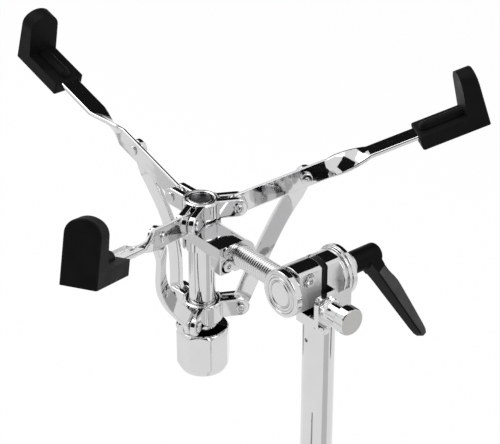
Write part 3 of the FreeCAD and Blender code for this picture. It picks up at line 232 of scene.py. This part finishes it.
class StandColours(bpy.types.PropertyGroup):
    chrome: bpy.props.FloatVectorProperty(
        name="Chrome", description="Colour of the polished plating", subtype="COLOR", size=3,
        default=(0.68, 0.68, 0.685), min=0.0, max=1.0)
    rubber: bpy.props.FloatVectorProperty(
        name="Rubber", description="Colour of the arm tips and feet", subtype="COLOR", size=3,
        default=(0.0050, 0.0050, 0.0054), min=0.0, max=1.0)
    plastic: bpy.props.FloatVectorProperty(
        name="Lever plastic", description="Colour of the moulded lever", subtype="COLOR", size=3,
        default=(0.0022, 0.0022, 0.0024), min=0.0, max=1.0)
    floor: bpy.props.FloatVectorProperty(
        name="Floor", description="Colour of the studio floor", subtype="COLOR", size=3,
        default=(0.86, 0.86, 0.86), min=0.0, max=1.0)


# Materials

def blank_material(name):
    """Material of that name, with its node tree only where it is new and still has to be filled."""
    material = bpy.data.materials.get(name)
    if material:
        return material, None
    material = bpy.data.materials.new(name)
    material.use_nodes = True
    return material, material.node_tree


def noise(tree, coords, scale, detail=3.0):
    node = tree.nodes.new("ShaderNodeTexNoise")
    node.inputs["Scale"].default_value = scale
    node.inputs["Detail"].default_value = detail
    tree.links.new(coords, node.inputs["Vector"])
    return node.outputs["Fac"]


def spread(tree, value, low, high):
    """Spread the middle of a noise over the range from low to high."""
    node = tree.nodes.new("ShaderNodeMapRange")
    node.inputs["From Min"].default_value = NOISE_LOW
    node.inputs["From Max"].default_value = NOISE_HIGH
    node.inputs["To Min"].default_value = low
    node.inputs["To Max"].default_value = high
    tree.links.new(value, node.inputs["Value"])
    return node.outputs["Result"]


def two_tone(tree, value, dark, light):
    ramp = tree.nodes.new("ShaderNodeValToRGB")
    ramp.color_ramp.elements[0].position = NOISE_LOW
    ramp.color_ramp.elements[0].color = (*dark, 1.0)
    ramp.color_ramp.elements[1].position = NOISE_HIGH
    ramp.color_ramp.elements[1].color = (*light, 1.0)
    tree.links.new(value, ramp.inputs["Fac"])
    return ramp.outputs["Color"]


def relief(tree, height, strength, distance):
    bump = tree.nodes.new("ShaderNodeBump")
    bump.inputs["Strength"].default_value = strength
    bump.inputs["Distance"].default_value = distance
    tree.links.new(height, bump.inputs["Height"])
    return bump.outputs["Normal"]


def shaded(colour, share):
    return tuple(min(1.0, part * share) for part in colour)


def plated(name, colour, rough_low, rough_high, wave=0.05):
    """Nickel-chrome plating: a little haze, handling marks and the faint wave of buffed metal."""
    material, tree = blank_material(name)
    if tree is None:
        return material
    shader = tree.nodes["Principled BSDF"]
    coords = tree.nodes.new("ShaderNodeTexCoord").outputs["Object"]
    haze = noise(tree, coords, HAZE_SCALE, detail=4.0)
    tree.links.new(two_tone(tree, haze, shaded(colour, HAZE_SHARE), colour), shader.inputs["Base Color"])
    marks = noise(tree, coords, MARK_SCALE, detail=5.0)
    tree.links.new(spread(tree, marks, rough_low, rough_high), shader.inputs["Roughness"])
    buffed = noise(tree, coords, BUFF_SCALE, detail=1.0)
    tree.links.new(relief(tree, buffed, wave, BUFF_DEPTH), shader.inputs["Normal"])
    shader.inputs["Metallic"].default_value = 1.0
    return material


def moulded(name, colour, rough_low, rough_high, grain_scale, grain):
    """Moulded black rubber or plastic with a fine grain and paler handling marks."""
    material, tree = blank_material(name)
    if tree is None:
        return material
    shader = tree.nodes["Principled BSDF"]
    coords = tree.nodes.new("ShaderNodeTexCoord").outputs["Object"]
    wear = noise(tree, coords, WEAR_SCALE, detail=5.0)
    tree.links.new(two_tone(tree, wear, colour, shaded(colour, WEAR_SHARE)), shader.inputs["Base Color"])
    tree.links.new(spread(tree, wear, rough_low, rough_high), shader.inputs["Roughness"])
    pores = noise(tree, coords, grain_scale, detail=2.0)
    tree.links.new(relief(tree, pores, grain, GRAIN_DEPTH), shader.inputs["Normal"])
    shader.inputs["Specular IOR Level"].default_value = MOULDED_SHINE
    return material


def chrome():
    colour = bpy.context.scene.stand_colours.chrome
    return plated("polished_chrome", colour, rough_low=0.03, rough_high=0.075)


def satin_chrome():
    colour = bpy.context.scene.stand_colours.chrome
    return plated("satin_chrome", colour, rough_low=0.20, rough_high=0.30, wave=0.12)


def satin_casting():
    return plated("satin_casting", CASTING_GREY, rough_low=0.52, rough_high=0.62, wave=0.12)


def plain_steel():
    return plated("plain_steel", STEEL_GREY, rough_low=0.22, rough_high=0.34, wave=0.15)


def turned_end():
    return plated("turned_end", TURNED_GREY, rough_low=0.30, rough_high=0.42, wave=0.10)


def dark_plug():
    return plated("dark_plug", PLUG_GREY, rough_low=0.36, rough_high=0.48, wave=0.12)


def tip_rubber():
    colour = bpy.context.scene.stand_colours.rubber
    return moulded("grained_tip_rubber", colour, rough_low=0.42, rough_high=0.56,
                   grain_scale=1900.0, grain=0.22)


def foot_rubber():
    colour = bpy.context.scene.stand_colours.rubber
    return moulded("grained_foot_rubber", colour, rough_low=0.55, rough_high=0.75,
                   grain_scale=1400.0, grain=0.35)


def lever_plastic():
    colour = bpy.context.scene.stand_colours.plastic
    return moulded("lever_plastic", colour, rough_low=0.36, rough_high=0.48,
                   grain_scale=PLASTIC_GRAIN_SCALE, grain=PLASTIC_GRAIN)


# Lever's front face: a lighter grey that paints its sheen towards the bright right side
def lever_painted_sheen():
    return moulded("lever_painted_sheen", LEVER_SHEEN_GREY, rough_low=0.50, rough_high=0.64,
                   grain_scale=PLASTIC_GRAIN_SCALE, grain=PLASTIC_GRAIN)


# Black nylon for the height bush and friction disc; on the nut's liner the same black paints the shade in the
# nut's open top
def nylon_and_painted_shade():
    return moulded("grained_nylon_and_painted_shade", NYLON_AND_SHADE_BLACK, rough_low=0.40, rough_high=0.52,
                   grain_scale=2000.0, grain=0.2)


# Modelling helpers

def nothing_selected():
    for other in bpy.context.selected_objects:
        other.select_set(False)


def only(piece):
    nothing_selected()
    bpy.context.view_layer.objects.active = piece
    piece.select_set(True)


def edit(piece):
    only(piece)
    bpy.ops.object.mode_set(mode="EDIT")
    bpy.ops.mesh.select_mode(type="VERT")


def done():
    bpy.ops.object.mode_set(mode="OBJECT")


def pick_vertices(piece, test):
    """In object mode, leave only the vertices that pass the test selected, then go back to editing."""
    done()
    mesh = piece.data
    for polygon in mesh.polygons:
        polygon.select = False
    for edge in mesh.edges:
        edge.select = False
    for vertex in mesh.vertices:
        vertex.select = test(vertex.co)
    bpy.ops.object.mode_set(mode="EDIT")


def apply_all(piece):
    only(piece)
    for modifier in list(piece.modifiers):
        bpy.ops.object.modifier_apply(modifier=modifier.name)


def rounded_edges(piece, width, segments=FINE_STEPS, clamp=True):
    """Round the sharp edges. Without the clamp, the width also holds where the mesh has short edges."""
    bevel = piece.modifiers.new("edge_round", "BEVEL")
    bevel.width = width
    bevel.segments = segments
    bevel.limit_method = "ANGLE"
    bevel.angle_limit = math.radians(EDGE_ANGLE)
    bevel.use_clamp_overlap = clamp
    apply_all(piece)


def slimmed(piece, depth):
    """Draw every face in a little, so that a pin's facets clear the hole it turns in."""
    draw_in = piece.modifiers.new("play", "DISPLACE")
    draw_in.mid_level = 0.0
    draw_in.strength = -depth
    apply_all(piece)


def smooth(piece, angle=SMOOTH_ANGLE):
    only(piece)
    bpy.ops.object.shade_smooth_by_angle(angle=math.radians(angle))
    even = piece.modifiers.new("even_normals", "WEIGHTED_NORMAL")
    even.keep_sharp = True
    apply_all(piece)


def settle(piece, node, material):
    """Give a finished piece its material and let it stand for its CAD node."""
    if not piece.data.polygons:
        raise RuntimeError(piece.name + " has no faces")
    piece.data.materials.clear()
    piece.data.materials.append(material)
    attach(piece, NODE_BODY[node])
    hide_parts(node)
    return piece


def merged_copy(node, name):
    """Copy of a node's solid with its loose triangles sewn together and flat faces made whole."""
    mesh = frame["nodes"][node].data.copy()
    mesh.name = name
    piece = bpy.data.objects.new(name, mesh)
    bpy.context.scene.collection.objects.link(piece)
    only(piece)
    bpy.ops.mesh.customdata_custom_splitnormals_clear()
    edit(piece)
    bpy.ops.mesh.select_all(action="SELECT")
    bpy.ops.mesh.remove_doubles(threshold=SEW_REACH)
    bpy.ops.mesh.dissolve_limited(angle_limit=math.radians(FLAT_ANGLE))
    done()
    return piece


def softened(node, material, width, segments=FINE_STEPS, clamp=True):
    """Copy of a node with rounded edges and smooth shading, which stands for the node."""
    piece = merged_copy(node, node + "_plated")
    rounded_edges(piece, width, segments, clamp)
    smooth(piece)
    return settle(piece, node, material)


def polished(node, width, segments=FINE_STEPS, clamp=True):
    """Softened copy of a node in polished chrome."""
    return softened(node, chrome(), width, segments, clamp)


def refinish(piece, material, test):
    """Give the faces that pass the test a second material."""
    piece.data.materials.append(material)
    place = len(piece.data.materials) - 1
    for polygon in piece.data.polygons:
        if test(polygon):
            polygon.material_index = place


def ring_across_y(name, sides, radius, centre, y):
    """Open ring of vertices round the Y direction, with its place in its mesh."""
    nothing_selected()
    bpy.ops.mesh.primitive_circle_add(vertices=sides, radius=radius, fill_type="NOTHING",
                                      location=(centre.x, y, centre.z), rotation=(math.pi / 2, 0, 0))
    piece = bpy.context.active_object
    piece.name = name
    bpy.ops.object.transform_apply(location=True, rotation=True, scale=True)
    return piece


def carry_ring(centre, step, scale):
    """Extrude the selected ring along Y by a step, then widen or narrow it round its centre."""
    bpy.ops.mesh.extrude_region_move(TRANSFORM_OT_translate={"value": (0, step, 0)})
    bpy.ops.transform.resize(value=(scale, 1, scale), center_override=(centre.x, 0, centre.z))


def close_ends(piece, ends):
    """Fill the rings at the given places along Y and turn every face outwards."""
    for end in ends:
        pick_vertices(piece, lambda co: abs(co.y - end) < SAME_PLACE)
        bpy.ops.mesh.edge_face_add()
    bpy.ops.mesh.select_all(action="SELECT")
    bpy.ops.mesh.normals_make_consistent(inside=False)


# Operators

class STAND_OT_tripod(bpy.types.Operator):
    """Legs, braces, lower tube, hub, collar, height clamp, rivets, wing screws and rubber feet"""
    bl_idname = "stand.tripod"
    bl_label = "Tripod"

    def execute(self, context):
        sizes = context.scene.stand_sizes
        for number in THREE:
            polished("leg_" + number, sizes.fine_round)
            polished("brace_" + number, sizes.fine_round)
            polished("leg_rivet_" + number, sizes.fine_round)
            softened("foot_" + number, foot_rubber(), sizes.rubber_round)
        for node in ("lower_hub", "leg_collar", "height_clamp", "lower_tube"):
            polished(node, sizes.edge_round)
        for node in ("collar_wing_screw", "height_wing_screw"):
            polished(node, sizes.edge_round * WING_ROUND_SHARE, ROUND_STEPS)
        for node in ("brace_pivot_rivets", "leg_pivot_rivets"):
            rivets = merged_copy(node, node + "_plated")
            slimmed(rivets, RIVET_PLAY)
            rounded_edges(rivets, sizes.fine_round)
            smooth(rivets)
            settle(rivets, node, chrome())
        softened("height_bush", nylon_and_painted_shade(), sizes.fine_round)
        return {"FINISHED"}


class STAND_OT_tilter(bpy.types.Operator):
    """Mast, tilter head, barrel, washer, pins, bolt and friction disc"""
    bl_idname = "stand.tilter"
    bl_label = "Mast and tilter"

    def execute(self, context):
        sizes = context.scene.stand_sizes
        polished("upper_tube", sizes.fine_round)
        head = polished("tilter_head", sizes.edge_round, ROUND_STEPS)
        refinish(head, satin_casting(), self.in_pocket)
        barrel = polished("tilter_barrel", sizes.edge_round, ROUND_STEPS, clamp=False)
        refinish(barrel, satin_casting(), lambda face: face.normal.y < -SQUARE_ON)
        polished("barrel_cap", sizes.edge_round, ROUND_STEPS, clamp=False)
        washer = polished("clamp_washer", sizes.edge_round, ROUND_STEPS)
        refinish(washer, satin_casting(), lambda face: face.normal.x < -SQUARE_ON)
        for node in ("head_pin", "barrel_screw", "tilter_bolt"):
            polished(node, sizes.fine_round)
        disc = merged_copy("friction_disc", "friction_disc_cut")
        edit(disc)
        bpy.ops.mesh.select_all(action="SELECT")
        bpy.ops.mesh.bisect(plane_co=(0, DISC_FRONT, 0), plane_no=(0, -1, 0), use_fill=True, clear_outer=True)
        done()
        smooth(disc)
        settle(disc, "friction_disc", nylon_and_painted_shade())
        return {"FINISHED"}

    def in_pocket(self, face):
        """Faces of the head that look into the gap behind the knob's lug, which were never buffed."""
        lug_back = face.normal.y > SQUARE_ON and face.center.y < POCKET_BACK
        flat = face.normal.y < -SQUARE_ON and face.center.y > POCKET_FRONT
        return lug_back or flat


class STAND_OT_knob(bpy.types.Operator):
    """Tilt knob: knurled ring, polished waist and knurled disc with a turned end"""
    bl_idname = "stand.knob"
    bl_label = "Tilt knob"

    def execute(self, context):
        sizes = context.scene.stand_sizes
        low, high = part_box("tilt_knob")
        centre = (low + high) / 2
        disc = (high.x - low.x) / 2
        waist_front = low.y + KNOB_DISC_T
        ring_front = waist_front + KNOB_WAIST_L
        seat = ring_front + KNOB_RING_T
        lip = KNOB_EASE / 2
        rows = ((KNOB_STEM_R, seat), (KNOB_RING_R - KNOB_EASE, seat), (KNOB_RING_R, seat - lip),
                (KNOB_RING_R, ring_front + lip), (KNOB_RING_R - KNOB_EASE, ring_front),
                (KNOB_WAIST_R, ring_front - lip), (KNOB_WAIST_R, waist_front + lip),
                (KNOB_WAIST_R + lip, waist_front), (disc - KNOB_EASE, waist_front),
                (disc, waist_front - KNOB_EASE), (disc, low.y + KNOB_EASE), (disc - KNOB_EASE, low.y))
        piece = ring_across_y("knurled_knob", 2 * sizes.knurl_count, KNOB_STEM_R, centre, high.y)
        edit(piece)
        bpy.ops.mesh.select_all(action="SELECT")
        radius, y = KNOB_STEM_R, high.y
        for next_radius, next_y in rows:
            carry_ring(centre, next_y - y, next_radius / radius)
            radius, y = next_radius, next_y
        for tooth_radius in (KNOB_RING_R, disc):
            self.cut_teeth(piece, centre, tooth_radius, sizes)
        close_ends(piece, (low.y, high.y))
        done()
        smooth(piece)
        settle(piece, "tilt_knob", chrome())
        refinish(piece, turned_end(),
                 lambda face: face.normal.y < -KNOB_END_TURN and face.center.y < low.y + lip)
        return {"FINISHED"}

    def cut_teeth(self, piece, centre, radius, sizes):
        """Draw every second vertex of a ring's rim inwards."""
        half_tooth = math.pi / sizes.knurl_count

        def valley(co):
            out = Vector((co.x - centre.x, co.z - centre.z))
            place = round(math.atan2(out.y, out.x) / half_tooth)
            return abs(out.length - radius) < NEAR_PLACE and place % 2 == 1

        pick_vertices(piece, valley)
        share = 1 - sizes.knurl_depth / radius
        bpy.ops.transform.resize(value=(share, 1, share), center_override=(centre.x, 0, centre.z))


class STAND_OT_lever(bpy.types.Operator):
    """Moulded clamping lever and its hub, screw and spring"""
    bl_idname = "stand.lever"
    bl_label = "Clamping lever"

    def execute(self, context):
        sizes = context.scene.stand_sizes
        handle = merged_copy("lever_handle", "curved_lever")
        self.drop_blade(handle)
        blade = self.blade()
        only(handle)
        blade.select_set(True)
        bpy.ops.object.join()
        smooth(handle)
        settle(handle, "lever_handle", lever_plastic())
        # Front faces below the top get a lighter grey: a painted sheen
        refinish(handle, lever_painted_sheen(),
                 lambda face: face.normal.y < -LEVER_SHEEN_TURN and face.center.z < LEVER_SHEEN_TOP)
        softened("lever_hub", plain_steel(), sizes.fine_round)
        softened("lever_screw", plain_steel(), sizes.fine_round)
        self.spring()
        return {"FINISHED"}

    def spring(self):
        """Steel copy of the lever's spring, baked where it stands and attached to no body; the real spring
        shortens as the grip is pulled, but this copy does not follow the grip.
        """
        spring = merged_copy("lever_spring", "lever_spring_coil")
        smooth(spring)
        spring.data.materials.clear()
        spring.data.materials.append(plain_steel())
        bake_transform(spring)
        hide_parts("lever_spring")

    def drop_blade(self, handle):
        """Take the straight blade off the copy of the handle and close the shell."""
        along = self.turned() @ Vector((0, 0, -1))
        edit(handle)
        pick_vertices(handle, lambda co: (co - LEVER_ROOT).dot(along) > BLADE_CUT)
        bpy.ops.mesh.delete(type="VERT")
        bpy.ops.mesh.select_all(action="DESELECT")
        bpy.ops.mesh.select_non_manifold()
        bpy.ops.mesh.fill()
        done()

    def turned(self):
        """Rotation from a blade hanging straight down to the lever's own place."""
        turn = Matrix.Rotation(math.radians(-LEVER_TURN), 3, "X")
        return turn @ Matrix.Rotation(math.radians(-LEVER_SLOPE), 3, "Y")

    def blade(self):
        """Handle blade with a neck and a shoulder, drawn down from its root section by section."""
        nothing_selected()
        bpy.ops.mesh.primitive_plane_add(size=1.0)
        blade = bpy.context.active_object
        edit(blade)
        depth, middle, thick, wide = 0.0, 0.0, 1.0, 1.0
        for number, section in enumerate(BLADE_SECTIONS):
            down, inner, outer, across = (size / MM_PER_METRE for size in section)
            bpy.ops.mesh.select_all(action="SELECT")
            if number:
                pick_vertices(blade, lambda co: abs(co.z + depth) < SAME_PLACE)
                bpy.ops.mesh.extrude_region_move()
            bpy.ops.transform.translate(value=((inner + outer) / 2 - middle, 0, depth - down))
            middle = (inner + outer) / 2
            share = ((outer - inner) / thick, across / wide, 1)
            bpy.ops.transform.resize(value=share, center_override=(middle, 0, -down))
            depth, thick, wide = down, outer - inner, across
        bpy.ops.mesh.select_all(action="SELECT")
        bpy.ops.mesh.normals_make_consistent(inside=False)
        done()
        blade.matrix_world = Matrix.Translation(LEVER_ROOT) @ self.turned().to_4x4()
        only(blade)
        bpy.ops.object.transform_apply(location=True, rotation=True, scale=True)
        rounded_edges(blade, BLADE_ROUND, ROUND_STEPS)
        return blade


class STAND_OT_rod(bpy.types.Operator):
    """Ridged offset rod"""
    bl_idname = "stand.rod"
    bl_label = "Offset rod"

    def execute(self, context):
        sizes = context.scene.stand_sizes
        low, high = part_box("offset_rod")
        radius = (high.x - low.x) / 2
        centre = (low + high) / 2
        count = int((high.y - low.y) / sizes.ridge_pitch)
        pitch = (high.y - low.y) / count
        piece = ring_across_y("ridged_rod", ROD_SIDES, radius - sizes.ridge_depth, centre, low.y)
        edit(piece)
        bpy.ops.mesh.select_all(action="SELECT")
        grow = radius / (radius - sizes.ridge_depth)
        ridge = ((RIDGE_FLANK, grow), (RIDGE_CREST, 1.0), (RIDGE_FLANK, 1 / grow), (RIDGE_FOOT, 1.0))
        for step, scale in ridge:
            carry_ring(centre, pitch * step, scale)
        done()
        rows = piece.modifiers.new("rows", "ARRAY")
        rows.use_relative_offset = False
        rows.use_constant_offset = True
        rows.constant_offset_displace = (0, pitch, 0)
        rows.count = count
        rows.use_merge_vertices = True
        rows.merge_threshold = NEAR_PLACE
        apply_all(piece)
        edit(piece)
        close_ends(piece, (low.y, high.y))
        done()
        smooth(piece, ROD_SMOOTH_ANGLE)
        settle(piece, "offset_rod", satin_chrome())
        return {"FINISHED"}


class STAND_OT_clamp(bpy.types.Operator):
    """Rod clamp on the basket tube, with its cap and socket screws"""
    bl_idname = "stand.clamp"
    bl_label = "Rod clamp"

    def execute(self, context):
        sizes = context.scene.stand_sizes
        polished("rod_clamp", sizes.edge_round, ROUND_STEPS)
        polished("clamp_cap", sizes.casting_round, CAST_STEPS, clamp=False)
        polished("clamp_screws", sizes.fine_round)
        return {"FINISHED"}


class STAND_OT_basket(bpy.types.Operator):
    """Basket tube, hub, collar, adjuster nut and its liner, whose black ring is painted shade in the nut's
    open top
    """
    bl_idname = "stand.basket"
    bl_label = "Basket hub and nut"

    def execute(self, context):
        sizes = context.scene.stand_sizes
        polished("basket_tube", sizes.fine_round)
        polished("basket_hub", sizes.casting_round, CAST_STEPS, clamp=False)
        softened("hub_plug", dark_plug(), sizes.fine_round)
        polished("hub_pins", sizes.fine_round)
        polished("basket_collar", sizes.casting_round, CAST_STEPS, clamp=False)
        polished("collar_pins", sizes.fine_round)
        polished("adjuster_nut", sizes.edge_round * NUT_ROUND_SHARE, ROUND_STEPS, clamp=False)
        # The liner's black ring stands where the nut's open top is in shade: painted shade
        softened("nut_liner", nylon_and_painted_shade(), sizes.fine_round)
        return {"FINISHED"}


class STAND_OT_arms(bpy.types.Operator):
    """Twisted arms, their links and pins"""
    bl_idname = "stand.arms"
    bl_label = "Arms and links"

    def execute(self, context):
        sizes = context.scene.stand_sizes
        for number in THREE:
            polished("arm_" + number, sizes.strap_round, CAST_STEPS, clamp=False)
            polished("link_" + number, sizes.edge_round, ROUND_STEPS, clamp=False)
            polished("link_pin_" + number, sizes.fine_round)
        return {"FINISHED"}


class STAND_OT_tips(bpy.types.Operator):
    """Rubber tips that hold the drum's rim"""
    bl_idname = "stand.tips"
    bl_label = "Rubber tips"

    def execute(self, context):
        sizes = context.scene.stand_sizes
        for number in THREE:
            softened("arm_tip_" + number, tip_rubber(), sizes.rubber_round, ROUND_STEPS)
        return {"FINISHED"}


class STAND_OT_stage(bpy.types.Operator):
    """Pale floor, soft studio light, dark cards for the chrome and the camera"""
    bl_idname = "stand.stage"
    bl_label = "Studio"

    def execute(self, context):
        scene = context.scene
        scene.view_settings.view_transform = "Standard"
        self.floor(scene)
        self.world(scene)
        self.lamps(scene)
        self.cards()
        self.camera(scene)
        return {"FINISHED"}

    def background_ray(self, tree):
        """Rays that should see the plain background: camera, glossy and transmission rays."""
        path = tree.nodes.new("ShaderNodeLightPath")
        seen = path.outputs["Is Camera Ray"]
        for kind in ("Is Glossy Ray", "Is Transmission Ray"):
            either = tree.nodes.new("ShaderNodeMath")
            either.operation = "MAXIMUM"
            tree.links.new(seen, either.inputs[0])
            tree.links.new(path.outputs[kind], either.inputs[1])
            seen = either.outputs[0]
        return seen

    def floor(self, scene):
        nothing_selected()
        bpy.ops.mesh.primitive_plane_add(size=FLOOR_SIZE, location=(0, 0, CAD_BOX[0].z - FLOOR_GAP))
        floor = bpy.context.active_object
        floor.name = "studio_floor"
        material, tree = blank_material("studio_floor")
        shader = tree.nodes["Principled BSDF"]
        coords = tree.nodes.new("ShaderNodeTexCoord").outputs["Object"]
        colour = scene.stand_colours.floor
        clouds = noise(tree, coords, FLOOR_CLOUD_SCALE)
        tone = two_tone(tree, clouds, shaded(colour, FLOOR_CLOUD_SHARE), colour)
        tree.links.new(tone, shader.inputs["Base Color"])
        shader.inputs["Roughness"].default_value = FLOOR_ROUGHNESS
        shader.inputs["Specular IOR Level"].default_value = FLOOR_SHINE
        glow = tree.nodes.new("ShaderNodeEmission")
        glow.inputs["Color"].default_value = WHITE
        glow.inputs["Strength"].default_value = FLOOR_GLOW
        mix = tree.nodes.new("ShaderNodeMixShader")
        share = tree.nodes.new("ShaderNodeMath")
        share.operation = "MULTIPLY"
        share.inputs[1].default_value = FLOOR_GLOW_SHARE
        tree.links.new(self.background_ray(tree), share.inputs[0])
        tree.links.new(share.outputs[0], mix.inputs["Fac"])
        tree.links.new(shader.outputs["BSDF"], mix.inputs[1])
        tree.links.new(glow.outputs["Emission"], mix.inputs[2])
        tree.links.new(mix.outputs["Shader"], tree.nodes["Material Output"].inputs["Surface"])
        floor.data.materials.append(material)

    def world(self, scene):
        world = bpy.data.worlds.new("studio_world")
        scene.world = world
        world.use_nodes = True
        tree = world.node_tree
        plain = tree.nodes["Background"]
        plain.inputs["Color"].default_value = WHITE
        plain.inputs["Strength"].default_value = WORLD_LIGHT
        shown = tree.nodes.new("ShaderNodeBackground")
        shown.inputs["Color"].default_value = WHITE
        shown.inputs["Strength"].default_value = WORLD_SHOWN
        mix = tree.nodes.new("ShaderNodeMixShader")
        tree.links.new(self.background_ray(tree), mix.inputs["Fac"])
        tree.links.new(plain.outputs["Background"], mix.inputs[1])
        tree.links.new(shown.outputs["Background"], mix.inputs[2])
        tree.links.new(mix.outputs["Shader"], tree.nodes["World Output"].inputs["Surface"])

    def place(self, azimuth, elevation, distance):
        """Point in the studio as seen from the basket, with azimuth from +X towards +Y."""
        across, height = math.radians(azimuth), math.radians(elevation)
        level = math.cos(height)
        out = Vector((math.cos(across) * level, math.sin(across) * level, math.sin(height)))
        return STUDIO_CENTRE + out * distance

    def lamps(self, scene):
        for name, azimuth, elevation, size, power in LAMPS:
            light = bpy.data.lights.new(name, "AREA")
            light.shape = "SQUARE"
            light.size = size
            light.energy = power
            lamp = bpy.data.objects.new(name, light)
            scene.collection.objects.link(lamp)
            lamp.location = self.place(azimuth, elevation, LAMP_DISTANCE)
            lamp.rotation_euler = (STUDIO_CENTRE - lamp.location).to_track_quat("-Z", "Y").to_euler()

    def card_tone(self, tone):
        """Plain card of one grey, which the plating sees at the tone it is given."""
        material, tree = blank_material("card_%02d" % round(tone * 100))
        if tree is None:
            return material
        glow = tree.nodes.new("ShaderNodeEmission")
        glow.inputs["Color"].default_value = (tone, tone, tone, 1.0)
        tree.links.new(glow.outputs["Emission"], tree.nodes["Material Output"].inputs["Surface"])
        return material

    def cards(self):
        """Dark and grey cards round the stand, which only the plating's reflections see."""
        for name, azimuths, elevations, distance, tone in CARDS:
            azimuth, elevation = sum(azimuths) / 2, sum(elevations) / 2
            half_width = math.radians(azimuths[1] - azimuths[0]) / 2 * math.cos(math.radians(elevation))
            half_height = math.radians(elevations[1] - elevations[0]) / 2
            nothing_selected()
            bpy.ops.mesh.primitive_plane_add(size=2.0, location=self.place(azimuth, elevation, distance))
            card = bpy.context.active_object
            card.name = name
            card.scale = (math.tan(half_width) * distance, math.tan(half_height) * distance, 1.0)
            card.rotation_euler = (STUDIO_CENTRE - card.location).to_track_quat("Z", "Y").to_euler()
            card.visible_camera = False
            card.visible_shadow = False
            card.visible_diffuse = False
            card.data.materials.append(self.card_tone(tone))

    def camera(self, scene):
        lens = bpy.data.cameras.new("photo_camera")
        lens.sensor_fit = "HORIZONTAL"
        lens.sensor_width = CAMERA_SENSOR
        lens.lens = CAMERA_LENS
        lens.clip_start = CAMERA_NEAR
        lens.clip_end = CAMERA_FAR
        camera = bpy.data.objects.new("photo_camera", lens)
        scene.collection.objects.link(camera)
        camera.location = CAMERA_TARGET - CAMERA_FORWARD * CAMERA_DISTANCE
        camera.rotation_euler = CAMERA_FORWARD.to_track_quat("-Z", "Y").to_euler()
        scene.camera = camera


class STAND_PT_panel(bpy.types.Panel):
    """Lists the stand's pieces"""
    bl_idname = "STAND_PT_panel"
    bl_label = "Snare drum stand"
    bl_space_type = "VIEW_3D"
    bl_region_type = "UI"
    bl_category = "Stand"

    def draw(self, context):
        layout = self.layout
        for operator in OPERATORS:
            layout.operator(operator.bl_idname)


OPERATORS = (STAND_OT_tripod, STAND_OT_tilter, STAND_OT_knob, STAND_OT_lever, STAND_OT_rod, STAND_OT_clamp,
             STAND_OT_basket, STAND_OT_arms, STAND_OT_tips, STAND_OT_stage)
CLASSES = (StandSizes, StandColours, *OPERATORS, STAND_PT_panel)


def register():
    for cls in CLASSES:
        bpy.utils.register_class(cls)
    bpy.types.Scene.stand_sizes = bpy.props.PointerProperty(type=StandSizes)
    bpy.types.Scene.stand_colours = bpy.props.PointerProperty(type=StandColours)


def unregister():
    del bpy.types.Scene.stand_sizes
    del bpy.types.Scene.stand_colours
    for cls in reversed(CLASSES):
        bpy.utils.unregister_class(cls)


def main():
    register()
    bpy.ops.stand.tripod()
    bpy.ops.stand.tilter()
    bpy.ops.stand.knob()
    bpy.ops.stand.lever()
    bpy.ops.stand.rod()
    bpy.ops.stand.clamp()
    bpy.ops.stand.basket()
    bpy.ops.stand.arms()
    bpy.ops.stand.tips()
    bpy.ops.stand.stage()


if __name__ == "__main__":
    main()
